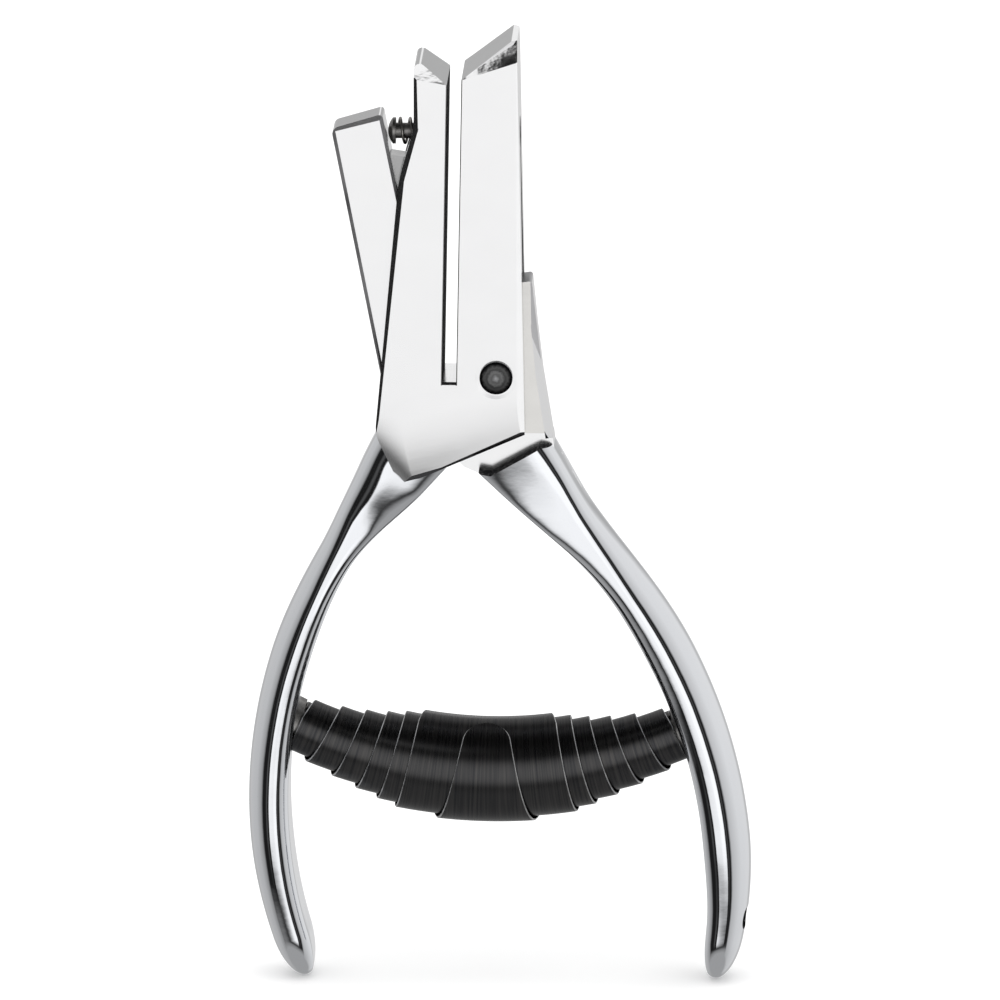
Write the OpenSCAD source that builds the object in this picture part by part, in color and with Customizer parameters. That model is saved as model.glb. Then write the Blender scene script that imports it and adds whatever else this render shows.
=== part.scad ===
// Hole punch pliers: a forged frame with a long paper throat, and a forged lever that crosses it
// on a pivot rivet. The lever's arm drives a sprung punch through the guide jaw into a die bush
// in the other jaw, and a double volute spring between the handles opens the tool again.
// Millimetres, +Z up. The origin is on the ground midway between the handles' outer sides, and
// the front face looks towards -Y. Places in the jaws are measured from the pivot.

/* [Pivot] */
// Height of the pivot above the handle tips
pivot_z = 100; // [97:0.1:104]
// Sideways place of the pivot from the middle of the handles
pivot_x = -0.5; // [-2:0.1:1]
// Diameter of the pivot rivet's shank
rivet_d = 5; // [4:0.1:5.4]
// Diameter of the flat seat sunk into each face round the rivet
rivet_seat_d = 6.5; // [6.4:0.1:7.5]
// Depth of those seats
rivet_seat_depth = 1.2; // [0.8:0.1:2]
// Angle that the lever turns from open to closed, in degrees
close_angle = 6; // [4:0.1:6.2]

/* [Jaws] */
// Depth of the frame from its front face to its back face
body_depth = 15; // [13:0.5:18]
// Height of the die jaw's tip above the pivot
jaw_h = 54.5; // [51:0.1:58]
// Distance from the pivot out to the die jaw's outer side, at its tip
die_side = 3.3; // [3:0.1:5]
// How much further out that side stands at its foot
die_flare = 1.25; // [0.6:0.05:2]
// Width of the level land at the die jaw's tip
die_land = 0.9; // [0.4:0.1:2]
// Rise of the die jaw's sloping end
die_rise = 6.1; // [4:0.1:8]
// Width of the paper throat
throat_gap = 2.3; // [1.6:0.05:2.6]
// Depth of the throat's bottom below the pivot
throat_drop = 1; // [0:0.1:2]
// Distance from the pivot to the throat's die side wall, at the bottom
throat_side = 6.3; // [6:0.1:7]
// Lean of the throat towards the die side, in degrees
throat_lean = 1; // [0:0.1:1.5]
// How far the guide jaw's tip stops short of the die jaw's tip
guide_drop = 2.8; // [2:0.1:5]
// Rise of the guide jaw's sloping end
guide_rise = 4.1; // [1:0.1:5]
// Width of the guide jaw at its tip
guide_w = 5.3; // [4.6:0.1:6]
// Length of the guide jaw's straight tip before it flares
guide_straight = 11.3; // [9:0.1:13]
// How far the guide jaw's outer side flares below the straight tip
guide_flare = 2.4; // [1:0.1:3.5]
// Height over which it flares
guide_flare_h = 8.2; // [6:0.1:12]
// Distance from the pivot out to the frame's foot, where the handle starts
foot_x = 19.2; // [18:0.1:21]
// Depth of that foot below the pivot
foot_drop = 9.1; // [7:0.1:11]
// Depth of the frame's lowest corner below the pivot
heel_drop = 17.8; // [16:0.1:20]
// Distance from the pivot out to that corner
heel_x = 15.2; // [14:0.1:17]
// Depth of the frame's bottom edge below the pivot, at the die side
toe_drop = 9.2; // [8:0.1:11]

/* [Lever] */
// Thickness of the lever's web and punch arm
web_t = 7; // [5:0.1:8]
// Room on each side of the web in the frame's fork
fork_clear = 0.15; // [0.1:0.05:0.3]
// Room between the lever's edges and the walls of the fork
edge_clear = 0.4; // [0.3:0.05:0.6]
// Room left at the stops that end the lever's travel
stop_clear = 0.3; // [0.1:0.05:0.5]
// Lean of the punch arm from upright, in degrees
arm_lean = 11; // [10:0.1:12]
// Width of the punch arm
arm_w = 8.4; // [6:0.1:9]
// How far the arm's top rises past the punch's axis, on the side of the punch
arm_over = 3.3; // [2.6:0.1:6]
// Fall of the arm's top towards its outer side
arm_fall = 2.4; // [1:0.1:5]
// Gap between the arm and the guide jaw on the punch's axis
arm_gap = 4.5; // [4.3:0.1:4.8]
// Thickness of the rib that backs the arm below the punch
rib_t = 4; // [3:0.1:4.6]
// How far that rib stands out of the arm
rib_reach = 2.9; // [1.5:0.1:3.2]
// Radius of the web round the pivot
hub_r = 4.6; // [4.2:0.1:4.8]
// Height of the stop fin's top above the pivot
fin_h = 15.1; // [12:0.1:18]
// Distance from the pivot out to the fin's stop edge
fin_x = 1.6; // [1:0.1:2.2]
// How far the web passes below the throat's bottom
neck_drop = 3.4; // [3:0.1:5]

/* [Handles] */
// Distance across the outer sides of the handles
handle_spread = 80.1; // [78:0.1:86]
// Thickness of the frame's handle at the grip
frame_grip_w = 6.1; // [5.6:0.1:7]
// Thickness of the lever's handle at the grip
lever_grip_w = 7; // [5.8:0.1:7.5]
// Thickness of the frame's handle at its waist, above the grip
frame_waist_w = 5.4; // [5:0.1:6.1]
// Thickness of the lever's handle at its waist
lever_waist_w = 6.2; // [5.6:0.1:7]
// Depth of both handles from front to back at the grip
grip_depth = 15.4; // [13:0.1:18]
// Depth of both handles where they leave the body
root_depth = 13.8; // [12:0.1:14.5]
// Thickness of the frame's handle where it leaves the body
frame_root_w = 9.5; // [9:0.1:12]
// Thickness of the lever's handle where it leaves the web
lever_root_w = 8; // [7.5:0.1:10]
// Height at which the frame's handle stands furthest out
frame_wide_z = 29.5; // [25:0.5:34]
// Height at which the lever's handle stands furthest out
lever_wide_z = 15.5; // [11:0.5:20]
// Radius of the frame's handle above its widest point
frame_bow_r = 80; // [76:0.5:86]
// Radius of the frame's handle below its widest point
frame_tip_r = 75; // [60:0.5:85]
// Radius of the lever's handle above its widest point
lever_bow_r = 84; // [80:0.5:90]
// Radius of the lever's handle below its widest point
lever_tip_r = 54; // [40:0.5:70]
// Lean of the frame's handle where it runs out straight into the body, in degrees
frame_lean = 42; // [38:0.5:44]
// Lean of the lever's handle where it runs out straight into the web, in degrees
lever_lean = 45; // [42:0.5:47]
// Length over which a handle's tip rounds off
tip_len = 7; // [4:0.1:10]
// Diameter of the lanyard hole through the lever's handle
lanyard_d = 3.5; // [2:0.1:4.5]
// Height of the lanyard hole
lanyard_z = 10.4; // [8:0.1:12]

/* [Punch and die] */
// Height of the punch's axis above the pivot
punch_h = 38.6; // [37.6:0.1:39.2]
// Diameter of the punch, and of the hole it makes
punch_d = 2.5; // [2:0.1:2.8]
// Radial running room of the punch and of the pivot
run_clear = 0.04; // [0.02:0.01:0.08]
// Depth that the punch's tip stands back in the guide jaw at rest
punch_recess = 0.6; // [0.2:0.1:1]
// Diameter of the punch's head
head_d = 4.2; // [3.9:0.1:4.4]
// Radius of the head's domed top
dome_r = 3.2; // [2.4:0.1:6]
// Thickness of the head's rim
head_t = 0.45; // [0.3:0.05:0.7]
// Room between the head and the arm
head_clear = 0.1; // [0.05:0.01:0.2]
// Diameter of the spring pocket bored into the guide jaw
pocket_d = 4.9; // [4.7:0.1:5.2]
// Thickness of the wall that guides the punch beyond that pocket
guide_wall = 2; // [1.5:0.1:2.4]
// Outer diameter of the die bush
bush_d = 5; // [4.4:0.1:6]
// Room between the punch and the die's cutting edge, radially
die_clear = 0.05; // [0.03:0.01:0.1]
// Length of the die's cutting land
die_land_len = 2; // [1:0.1:4]
// Diameter of the outlet for the punchings behind the land
outlet_d = 3.4; // [3.2:0.1:4]
// Depth that the bush's ends lie below the jaw's walls
bush_sink = 0.1; // [0.06:0.01:0.2]
// Wire diameter of the punch's return spring
coil_wire_d = 0.45; // [0.35:0.05:0.5]
// Turns of the punch's return spring
coil_turns = 3.5; // [3:0.5:5]
// Room at the ends of the return spring
coil_clear = 0.1; // [0.05:0.01:0.2]

/* [Volute spring] */
// Height of the spring's seat on the frame's handle
frame_seat_z = 42.4; // [38:0.1:45]
// Height of the spring's seat on the lever's handle
lever_seat_z = 41.8; // [38:0.1:45]
// Sag of the spring's axis at its middle
spring_sag = 7.2; // [5:0.1:9]
// Largest diameter of the spring, at its middle
spring_d = 17.8; // [17:0.1:19]
// Thickness of the spring's strip
strip_t = 0.24; // [0.2:0.01:0.28]
// Step of the strip towards the axis on each turn
strip_step = 0.72; // [0.7:0.01:0.74]
// Turns of each half of the spring
spring_turns = 7; // [6:0.25:7]
// Width of the strip of each half
strip_w = 13.5; // [12.6:0.1:15]
// Half width of the strip's round end, outermost on the spring
tab_half = 3.6; // [2.5:0.1:4.5]
// How far the first turn moves the strip's edge outwards
tab_lead = 8.7; // [6:0.1:11]

/* [Spring pegs] */
// Diameter of the collar that the spring's end bears on
collar_d = 8.4; // [8:0.1:9]
// Thickness of that collar
collar_t = 1.4; // [1:0.1:2]
// Depth that the collar is let into the handle, on the peg's axis
collar_sink = 1.2; // [1.1:0.1:1.6]
// Diameter of the peg's nose inside the spring
nose_d = 6.4; // [5:0.1:6.6]
// Length of the peg's nose
nose_len = 3.5; // [2:0.1:5]
// Diameter of the peg's shank in the handle
shank_d = 3; // [2.4:0.1:4]
// Length of the peg's shank
shank_len = 2.2; // [1.5:0.1:2.6]
// Room round a collar and at the spring's ends
seat_clear = 0.3; // [0.2:0.05:0.5]

/* [Hidden] */
$fn = 64;
chrome = [0.86, 0.87, 0.88];
blued = [0.12, 0.12, 0.13];
tool_steel = [0.3, 0.3, 0.31];
over = 0.5;                   // how far cutters run past what they cut
rivet_lip = 0.12;             // how far the rivet's spread ends stand out round its shank
rivet_dome = 0.35;            // crown of those ends
grip_swell = 0.5;             // how much thicker a handle is near its tip than at the top of the grip
tip_narrow = 2.4;             // how much narrower a handle is at its tip, from front to back
tip_thin = [0.7, 1.9];        // how much thinner the frame's and the lever's handles are there
tip_taper_z = 24;             // height at which that starts
facet_drop = 3.2;             // height of the corner facets at the jaws' tips
facet_depth = 1.9;            // depth of those facets from front to back
bevel_slope = 0.6;            // depth of an edge bevel for each millimetre of its width
die_slope = 0.28;             // the same for the shallow bevel down the die jaw's outer side
fin_bevel_slope = 1.3;        // and for the steep one down the outer side of the lever's fin
guide_bevels = [0.5, 0.7, 0.9, 0.4];  // bevel widths down the guide jaw, from its tip to the foot
heel_bevels = [1.9, 0.5, 0.7];        // bevel widths along the bottom edge, from the heel to the toe
throat_bevels = [0.12, 0.15]; // bevel widths along the throat, on the guide's side and on the die's
arm_bevels = [0.3, 0.6, 0.8, 0.5, 0.6];  // bevel widths round the arm, from its inner edge to its foot
fin_bevels = [1.2, 1.1, 0.9, 0.2];    // bevel widths up the fin, from its foot to its top
facet_spread = 1.12;          // how much the cutter of such a facet is larger than the facet
guide_tip_r = 0.9;            // corner radii of the frame's outline, from the guide jaw's tip to the heel
flare_top_r = 14;
flare_foot_r = 30;
foot_r = 6;
heel_r = 2;
arm_tip_r = 0.6;              // corner radii of the arm's top, on the punch's side and behind
arm_back_r = 1.2;
fin_tip_r = 0.5;              // corner radius of the stop fin
fin_slope = 0.6;              // fall of the fin's top towards its stop edge
web_root_x = 5.2;             // distance from the pivot out to the web's corner in the handle
web_root_rise = 2.5;          // height of that corner above the frame's lowest corner
web_sink = 1;                 // how far the web runs down into the handle
web_base = [3, 10];           // the web's width in the handle, from the pivot
fin_stand = [4.3, 2.7, 1.8, 1];  // how far the fin stands out of the die side, from its foot to its top
elbow_rise = 7;               // height of the inner elbow of arm and neck above the neck
foot_rise = 2;                // height of the arm's foot above the neck
rib_len = 7;                  // length of the rib along the arm
rib_room = 0.85;              // height of the rib's top below the spring pocket
rib_slope = 0.6;              // fall of the rib's top away from the arm
rib_sink = 1;                 // how far the rib runs into the arm
shoulder_low = [-0.9, 1.9];   // places of the lever's shoulder, from the pivot and over the heel
shoulder_high = [7, 6.3];
frame_top_sink = 3;           // how far the tops of the handles lie below foot and toe
lever_top_sink = 2.2;
root_rise = 2.2;              // height over the heel at which a handle starts to slim
waist_len = 15.5;             // height over which it slims to its waist
waist_fade = 16;              // height below the waist over which it thickens to the grip
swell_rate = 1.4;             // how soon below the waist its swell is reached
frame_flare_drop = 20.5;      // depth below the pivot from which a handle's outer side thickens upwards
lever_flare_drop = 25;
root_flare = 0.36;            // how much it thickens for each millimetre of height
flare_blend = 3;              // rounding of the start of that flare
rivet_sink = 0.3;             // depth that the rivet's crowns stay below the faces
coil_room = 0.25;             // radial room of the return spring in its pocket

// Places in the jaws, from the pivot
throat_z = -throat_drop;
function throat_wall(z) = -throat_side + (z - throat_z) * tan(throat_lean);
die_corner_z = jaw_h - die_rise;
guide_tip_z = jaw_h - guide_drop;
guide_corner_z = guide_tip_z - guide_rise;
guide_x = throat_wall(guide_tip_z) - throat_gap - guide_w;
flare_top = [guide_x, guide_tip_z - guide_straight];
flare_foot = flare_top - [guide_flare, guide_flare_h];
foot = [-foot_x, -foot_drop];
heel = [-heel_x, -heel_drop];
toe = [die_side + die_flare, -toe_drop];
die_tip = [die_side, jaw_h];
function die_wall(z) = toe.x + (die_tip.x - toe.x) * (z - toe.y) / (die_tip.y - toe.y);

// The punch arm: its inner and outer edges are straight and lean away from the jaws
arm_at_punch = guide_x - arm_gap;
function arm_inner(z) = arm_at_punch + (punch_h - z) * tan(arm_lean);
function arm_outer(z) = arm_inner(z) - arm_w / cos(arm_lean);
function turned(p, a) = [p.x * cos(a) + p.y * sin(a), p.y * cos(a) - p.x * sin(a)];
fork_w = web_t + 2 * fork_clear;
neck_z = throat_z - neck_drop;

// The punch's places along X, from the pivot, and its travel at the lever's limit
dome_centre = arm_at_punch + (dome_r + head_clear) / cos(arm_lean);
rim_x = dome_centre - sqrt(pow(dome_r, 2) - pow(head_d / 2, 2));
rim_end = rim_x + head_t;
guide_wall_x = throat_wall(punch_h) - throat_gap;
pocket_floor = guide_wall_x - guide_wall;
punch_tip = guide_wall_x - punch_recess;
arm_line = arm_at_punch * cos(arm_lean) + punch_h * sin(arm_lean);
closed_lean = arm_lean - close_angle;
closed_face = (arm_line - punch_h * sin(closed_lean)) / cos(closed_lean);
punch_travel = closed_face + (dome_r + head_clear) / cos(closed_lean) - dome_centre;

// Points of an arc of radius r that rounds the corner b between a and c
function rounded(a, b, c, r, n = 6) =
    let (u = (a - b) / norm(a - b), v = (c - b) / norm(c - b), half = acos(u * v) / 2)
    let (centre = b + (u + v) / norm(u + v) * r / sin(half))
    let (from = b + u * r / tan(half) - centre, to = b + v * r / tan(half) - centre)
    let (start = atan2(from.y, from.x), swing = atan2(to.y, to.x) - start)
    let (turn = swing > 180 ? swing - 360 : swing < -180 ? swing + 360 : swing)
    [for (i = [0:n]) centre + r * [cos(start + turn * i / n), sin(start + turn * i / n)]];

// Plate of a flat outline that is drawn from the pivot, centred between front and back
module plate(depth) {
    translate([pivot_x, 0, pivot_z]) rotate([90, 0, 0]) linear_extrude(depth, center = true) children();
}

// Round part drawn along +Z, laid along +X on the punch's axis from place x
module on_punch_axis(x) {
    translate([pivot_x + x, 0, pivot_z + punch_h]) rotate([0, 90, 0]) children();
}

// Wedge that bevels the front and back edge from a to b by widths ca and cb, outside on the right
module edge_bevel(a, b, ca, cb, depth, slope = bevel_slope) {
    along = (b - a) / norm(b - a);
    out = [along.y, -along.x];
    ends = [[a - along * over * ca, ca], [b + along * over * cb, cb]];
    points = [for (e = ends) let (c = e[1], d = c * slope, face = depth / 2)
        for (s = [[-1.5 * c, face + d / 2], [c / 2, face - 1.5 * d], [c / 2, face + d / 2]])
            [e[0].x + out.x * s[0], -s[1], e[0].y + out.y * s[0]]];
    translate([pivot_x, 0, pivot_z])
        for (side = [0, 1]) mirror([0, side, 0])
            polyhedron(points, [[2, 1, 0], [3, 4, 5], [1, 4, 3, 0], [2, 5, 4, 1], [0, 3, 5, 2]]);
}

// Corner facet on front and back: it starts at a and takes off the corner b of a sloping end
module tip_facet(a, b) {
    face = body_depth / 2;
    inner = [a.x, -face, a.y];
    low = [b.x, -face, b.y - facet_drop];
    deep = [b.x, -face + facet_depth, b.y];
    middle = (inner + low + deep) / 3;
    flat = [for (p = [inner, low, deep]) middle + (p - middle) * facet_spread];
    lift = cross(low - inner, deep - inner) / norm(cross(low - inner, deep - inner));
    away = lift * (lift.y > 0 ? -facet_drop : facet_drop);
    translate([pivot_x, 0, pivot_z])
        for (side = [0, 1]) mirror([0, side, 0]) hull() polyhedron(
            concat(flat, [for (p = flat) p + away]),
            [[0, 1, 2], [5, 4, 3], [0, 3, 4, 1], [1, 4, 5, 2], [2, 5, 3, 0]]);
}

// Handles: the middle line rises from the tip in one arc, passes the widest point into another and
// runs out straight; the section is an oval cut off flat on the inner side, and rounds off at the tip.
// Each handle: side, widest height, radii above and below it, largest lean, grip and root thickness, top,
// the height from which its outer side thickens into the body, and the waist's thickness
frame_handle = [-1, frame_wide_z, frame_bow_r, frame_tip_r, frame_lean, frame_grip_w, frame_root_w,
                pivot_z - foot_drop - frame_top_sink, pivot_z - frame_flare_drop, frame_waist_w];
lever_handle = [1, lever_wide_z, lever_bow_r, lever_tip_r, lever_lean, lever_grip_w, lever_root_w,
                pivot_z - toe_drop - lever_top_sink, pivot_z - lever_flare_drop, lever_waist_w];
section_sides = 20;
body_rings = 24;
tip_rings = 6;
tip_turn = 83;                // how far round the tip's curve the last ring lies, in degrees
root_z = pivot_z - heel_drop + root_rise;
waist_z = root_z - waist_len;
flat_share = 0.64;            // place of the flat inner side, as a share of the oval's half width
flat_corner = 0.1;            // rounding of the corners there, as a share of the same half
function oval(b) = let (u = cos(b) + flat_share) (u + sqrt(u * u + pow(flat_corner, 2))) / 2 - flat_share;
function across(b) = -1 + 2 * (oval(b) - oval(180)) / (oval(0) - oval(180));
function smooth(t) = let (s = min(max(t, 0), 1)) s * s * (3 - 2 * s);
function handle_lean(h, z) = min(asin(min((z - h[1]) / (z > h[1] ? h[2] : h[3]), 1)), h[4]);
function handle_mid(h, z) = let (a = handle_lean(h, z), r = z > h[1] ? h[2] : h[3])
    let (past = z - h[1] - r * sin(a))
    [h[0] * (handle_spread / 2 - h[5] / 2 - r * (1 - cos(a)) - past * tan(a)), z];
function handle_out(h, z) = let (a = handle_lean(h, z)) [h[0] * cos(a), sin(a)];
function handle_w(h, z) = h[5] + (h[9] - h[5]) * smooth(1 + (z - waist_z) / waist_fade)
    + (h[6] - h[9]) * smooth((z - waist_z) / (root_z - waist_z))
    + grip_swell * smooth((waist_z - z) / waist_z * swell_rate)
    - tip_thin[h[0] < 0 ? 0 : 1] * smooth(1 - z / tip_taper_z);
function handle_flare(h, z) = let (u = z - h[8]) root_flare * (u + sqrt(u * u + pow(flare_blend, 2))) / 2;
function handle_d(z) = root_depth
    + (grip_depth - root_depth) * smooth((root_z - z) / (root_z - waist_z) / 2)
    - tip_narrow * smooth(1 - z / tip_taper_z);

module handle(h) {
    heights = concat([for (i = [0:body_rings]) h[7] + (tip_len - h[7]) * i / body_rings],
                     [for (i = [1:tip_rings]) tip_len * (1 - sin(tip_turn * i / tip_rings))]);
    shrink = concat([for (i = [0:body_rings]) 1], [for (i = [1:tip_rings]) cos(tip_turn * i / tip_rings)]);
    rings = len(heights);
    points = [for (i = [0:rings - 1], j = [0:section_sides - 1])
        let (z = heights[i], b = 360 * j / section_sides, mid = handle_mid(h, z), out = handle_out(h, z))
        let (e = handle_flare(h, z), n = shrink[i] * (across(b) * (handle_w(h, z) + e) + e) / 2)
        [mid.x + out.x * n, shrink[i] * sin(b) * handle_d(z) / 2, mid.y + out.y * n]];
    sides = [for (i = [0:rings - 2], j = [0:section_sides - 1])
        let (k = (j + 1) % section_sides, p = i * section_sides, q = p + section_sides)
        each [[p + j, p + k, q + j], [p + k, q + k, q + j]]];
    top_cap = [[for (j = [section_sides - 1:-1:0]) j]];
    tip_cap = [[for (j = [0:section_sides - 1]) (rings - 1) * section_sides + j]];
    faces = concat(sides, top_cap, tip_cap);
    polyhedron(points, h[0] < 0 ? [for (f = faces) [for (v = [len(f) - 1:-1:0]) f[v]]] : faces);
}

// Everything below the ground that the handle tips stand on
module below_ground() {
    translate([0, 0, -handle_spread]) cube(2 * handle_spread, center = true);
}

// Spring seats: where the spring's axis meets each handle's inner side, and the arc between them
function inner_side(h, z) = handle_mid(h, z) - handle_out(h, z) * (handle_w(h, z) / 2 - collar_sink);
frame_seat = inner_side(frame_handle, frame_seat_z);
lever_seat = inner_side(lever_handle, lever_seat_z);
seat_chord = norm(lever_seat - frame_seat);
chord_dir = (lever_seat - frame_seat) / seat_chord;
axis_r = (pow(seat_chord / 2, 2) + pow(spring_sag, 2)) / (2 * spring_sag);
axis_centre = (frame_seat + lever_seat) / 2 + (axis_r - spring_sag) * [-chord_dir.y, chord_dir.x];
chord_tilt = atan2(chord_dir.y, chord_dir.x);
axis_half = asin(seat_chord / 2 / axis_r);

// Round part drawn along +Z, stood on a seat with +Z along the spring's axis into the spring
module on_seat(h) {
    seat = h[0] < 0 ? frame_seat : lever_seat;
    heading = h[0] < 0 ? chord_tilt - axis_half : chord_tilt + axis_half + 180;
    translate([seat.x, 0, seat.y]) rotate([0, 90 - heading, 0]) children();
}

module peg_seat(h) {
    on_seat(h) {
        cylinder(d = collar_d + 2 * seat_clear, h = 2 * collar_sink + collar_d / 2);
        translate([0, 0, -shank_len - seat_clear]) cylinder(d = shank_d, h = shank_len + seat_clear + over);
    }
}

module spring_peg(h) {
    on_seat(h) {
        translate([0, 0, -shank_len]) cylinder(d = shank_d, h = shank_len + collar_t / 2);
        cylinder(d = collar_d, h = collar_t);
        cylinder(d = nose_d, h = collar_t + nose_len);
    }
}

// Frame: outline of jaws, throat and foot, cut by the fork slot that the lever's web works in
guide_corner = [throat_wall(guide_corner_z) - throat_gap, guide_corner_z];
die_corner = [throat_wall(die_corner_z), die_corner_z];
die_floor = [throat_wall(throat_z), throat_z];
guide_floor = die_floor - [throat_gap, 0];
guide_tip = [guide_x, guide_tip_z];
body_outline = concat(
    [toe, die_tip, die_tip - [die_land, 0], die_corner, die_floor, guide_floor, guide_corner],
    rounded(guide_corner, guide_tip, flare_top, guide_tip_r),
    rounded(guide_tip, flare_top, flare_foot, flare_top_r),
    rounded(flare_top, flare_foot, foot, flare_foot_r),
    rounded(flare_foot, foot, heel, foot_r),
    rounded(foot, heel, toe, heel_r));

// The lever's web before it is cut: arm, neck under the throat, root in the handle and stop fin
arm_h = punch_h + arm_over;
web_root = [-web_root_x, -heel_drop + web_root_rise];
web_low = -heel_drop - web_sink;
fin_tip = [fin_x, fin_h - fin_slope];
fin_side = [[toe.x + fin_stand[0], toe.y - fin_slope], [toe.x + fin_stand[1], 0],
            [toe.x + fin_stand[2], fin_h / 2], [toe.x + fin_stand[3], fin_h]];
elbow = [arm_inner(neck_z + elbow_rise), neck_z + elbow_rise];
arm_top = [arm_inner(arm_h), arm_h];
arm_back = [arm_outer(arm_h - arm_fall), arm_h - arm_fall];
arm_foot = [arm_outer(neck_z + foot_rise), neck_z + foot_rise];
web_outline = concat(
    rounded([arm_inner(0), 0], arm_top, arm_back, arm_tip_r),
    rounded(arm_top, arm_back, arm_foot, arm_back_r),
    [arm_foot, web_root, [web_base[0], web_low], [web_base[1], web_low]],
    [fin_side[0], fin_side[1], fin_side[2]],
    rounded(fin_side[2], fin_side[3], fin_tip, fin_tip_r),
    [fin_tip, [fin_x, 0], [0, neck_z], [-throat_side - throat_gap - edge_clear, neck_z], elbow]);

// The fork slot keeps clear of the web from open to closed
closed_arm = [for (p = [elbow, arm_top]) turned(p, close_angle) + [edge_clear, 0]];
slot_floor = arm_foot - [edge_clear, edge_clear];
slot_heel = turned(web_root, close_angle) - [edge_clear, edge_clear];
slot_slope = (slot_floor - slot_heel) / norm(slot_floor - slot_heel);
far = 2 * handle_spread;
neck_lift = (throat_side + throat_gap + edge_clear) * sin(close_angle);
slot_exit = slot_floor + slot_slope * foot_drop;
slot_outline = concat(
    [slot_exit, slot_heel - slot_slope * far, [far, -far], [far, fin_h + edge_clear],
     [fin_x - stop_clear, fin_h + edge_clear], [fin_x - stop_clear, 0]],
    [[0, neck_z + neck_lift + edge_clear], [-throat_side - throat_gap, neck_z + neck_lift + edge_clear]],
    closed_arm, [[-far, arm_h], [-far, slot_exit.y]]);

// The rib behind the arm, and the narrower slot that lets it into the guide jaw
rib_top = punch_h - pocket_d / 2 - rib_room;
rib_low = rib_top - rib_len;
rib = [[arm_inner(rib_top) - rib_sink, rib_top], [arm_inner(rib_low) - rib_sink, rib_low],
       [arm_inner(rib_low + rib_sink), rib_low + rib_sink],
       [arm_inner(rib_top) + rib_reach, rib_top - rib_slope]];
rib_closed = [for (p = rib) turned(p, close_angle)];

module pivot_bore(depth) {
    translate([pivot_x, 0, pivot_z]) rotate([90, 0, 0])
        cylinder(d = rivet_d + 2 * run_clear, h = depth, center = true);
}

module frame() color(chrome) difference() {
    union() {
        plate(body_depth) polygon(body_outline);
        handle(frame_handle);
    }
    plate(fork_w) {
        polygon(slot_outline);
        circle(hub_r + edge_clear);
    }
    plate(rib_t + 2 * fork_clear) polygon([rib_closed[1] - [rib_reach, 0], rib_closed[2] + [edge_clear, 0],
        rib_closed[3] + [edge_clear, 0], rib_closed[3] + [edge_clear, rib_room],
        rib_closed[0] + [-rib_reach, rib_room]]);
    pivot_bore(body_depth + over);
    for (side = [0, 1]) mirror([0, side, 0])
        translate([pivot_x, -body_depth / 2 + rivet_seat_depth, pivot_z]) rotate([90, 0, 0])
            cylinder(d = rivet_seat_d, h = rivet_seat_depth + over);
    on_punch_axis(pocket_floor - far) cylinder(d = pocket_d, h = far);
    on_punch_axis(pocket_floor - over) cylinder(d = punch_d + 2 * run_clear, h = guide_wall + throat_gap);
    on_punch_axis(throat_wall(punch_h) - throat_gap / 2) cylinder(d = bush_d, h = far);
    edge_bevel(guide_tip - [0, facet_drop], flare_top, guide_bevels[0], guide_bevels[1], body_depth);
    edge_bevel(flare_top, flare_foot, guide_bevels[1], guide_bevels[2], body_depth);
    edge_bevel(flare_foot, foot, guide_bevels[2], guide_bevels[3], body_depth);
    edge_bevel(heel, (heel + toe) / 2, heel_bevels[0], heel_bevels[1], body_depth);
    edge_bevel((heel + toe) / 2, toe, heel_bevels[1], heel_bevels[2], body_depth);
    edge_bevel(toe, die_tip, die_flare, throat_bevels[1], body_depth, die_slope);
    edge_bevel(guide_floor, guide_corner, throat_bevels[0], throat_bevels[0], body_depth);
    edge_bevel(die_corner, die_floor, throat_bevels[1], throat_bevels[1], body_depth);
    tip_facet(die_corner, die_tip);
    tip_facet(guide_corner, guide_tip);
    peg_seat(frame_handle);
    below_ground();
}

// Lever: web with punch arm, rib and fin, and a handle whose shoulders stop against the cheeks
shoulder_left = let (a = turned(heel, -close_angle), b = turned(toe, -close_angle))
    [web_root.x, a.y + (b.y - a.y) * (web_root.x - a.x) / (b.x - a.x) - stop_clear];
shoulder_dip = [0, -heel_drop] + shoulder_low;
shoulder_rise = [0, -heel_drop] + shoulder_high;

module cheek_space() {
    for (side = [-1, 1]) translate([0, side * (web_t / 2 + body_depth / 2), 0])
        plate(body_depth) polygon([shoulder_left - [far, 0], shoulder_left, shoulder_dip, shoulder_rise,
            shoulder_rise + [far, 0], [far, far], [-far, far]]);
}

module lever() color(chrome) difference() {
    union() {
        difference() {
            plate(web_t) {
                polygon(web_outline);
                circle(hub_r);
            }
            edge_bevel([arm_inner(0), 0], arm_top, arm_bevels[0], arm_bevels[1], web_t);
            edge_bevel(arm_top, arm_back, arm_bevels[2], arm_bevels[3], web_t);
            edge_bevel(arm_back, arm_foot, arm_bevels[4], arm_bevels[4], web_t);
            for (i = [0:2])
                edge_bevel(fin_side[i], fin_side[i + 1], fin_bevels[i], fin_bevels[i + 1], web_t,
                           fin_bevel_slope);
        }
        plate(rib_t) polygon(rib);
        difference() {
            handle(lever_handle);
            cheek_space();
        }
    }
    pivot_bore(web_t + over);
    translate([0, 0, lanyard_z]) rotate([0, 90, 0]) cylinder(d = lanyard_d, h = far);
    peg_seat(lever_handle);
    below_ground();
}

// Pivot rivet: plain shank with both ends spread into the seats and slightly domed
module pivot_rivet() color(blued) {
    half = body_depth / 2 - rivet_seat_depth;
    lip_t = rivet_seat_depth - rivet_dome - rivet_sink;
    r = rivet_d / 2;
    end = [for (i = [0:6]) [(r + rivet_lip) * cos(15 * i), half + lip_t + rivet_dome * sin(15 * i)]];
    side = concat([[r, half], [r + rivet_lip, half]], end);
    translate([pivot_x, 0, pivot_z]) rotate([90, 0, 0]) rotate_extrude()
        polygon(concat(side, [for (i = [len(side) - 1:-1:0]) [side[i].x, -side[i].y]]));
}

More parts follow.
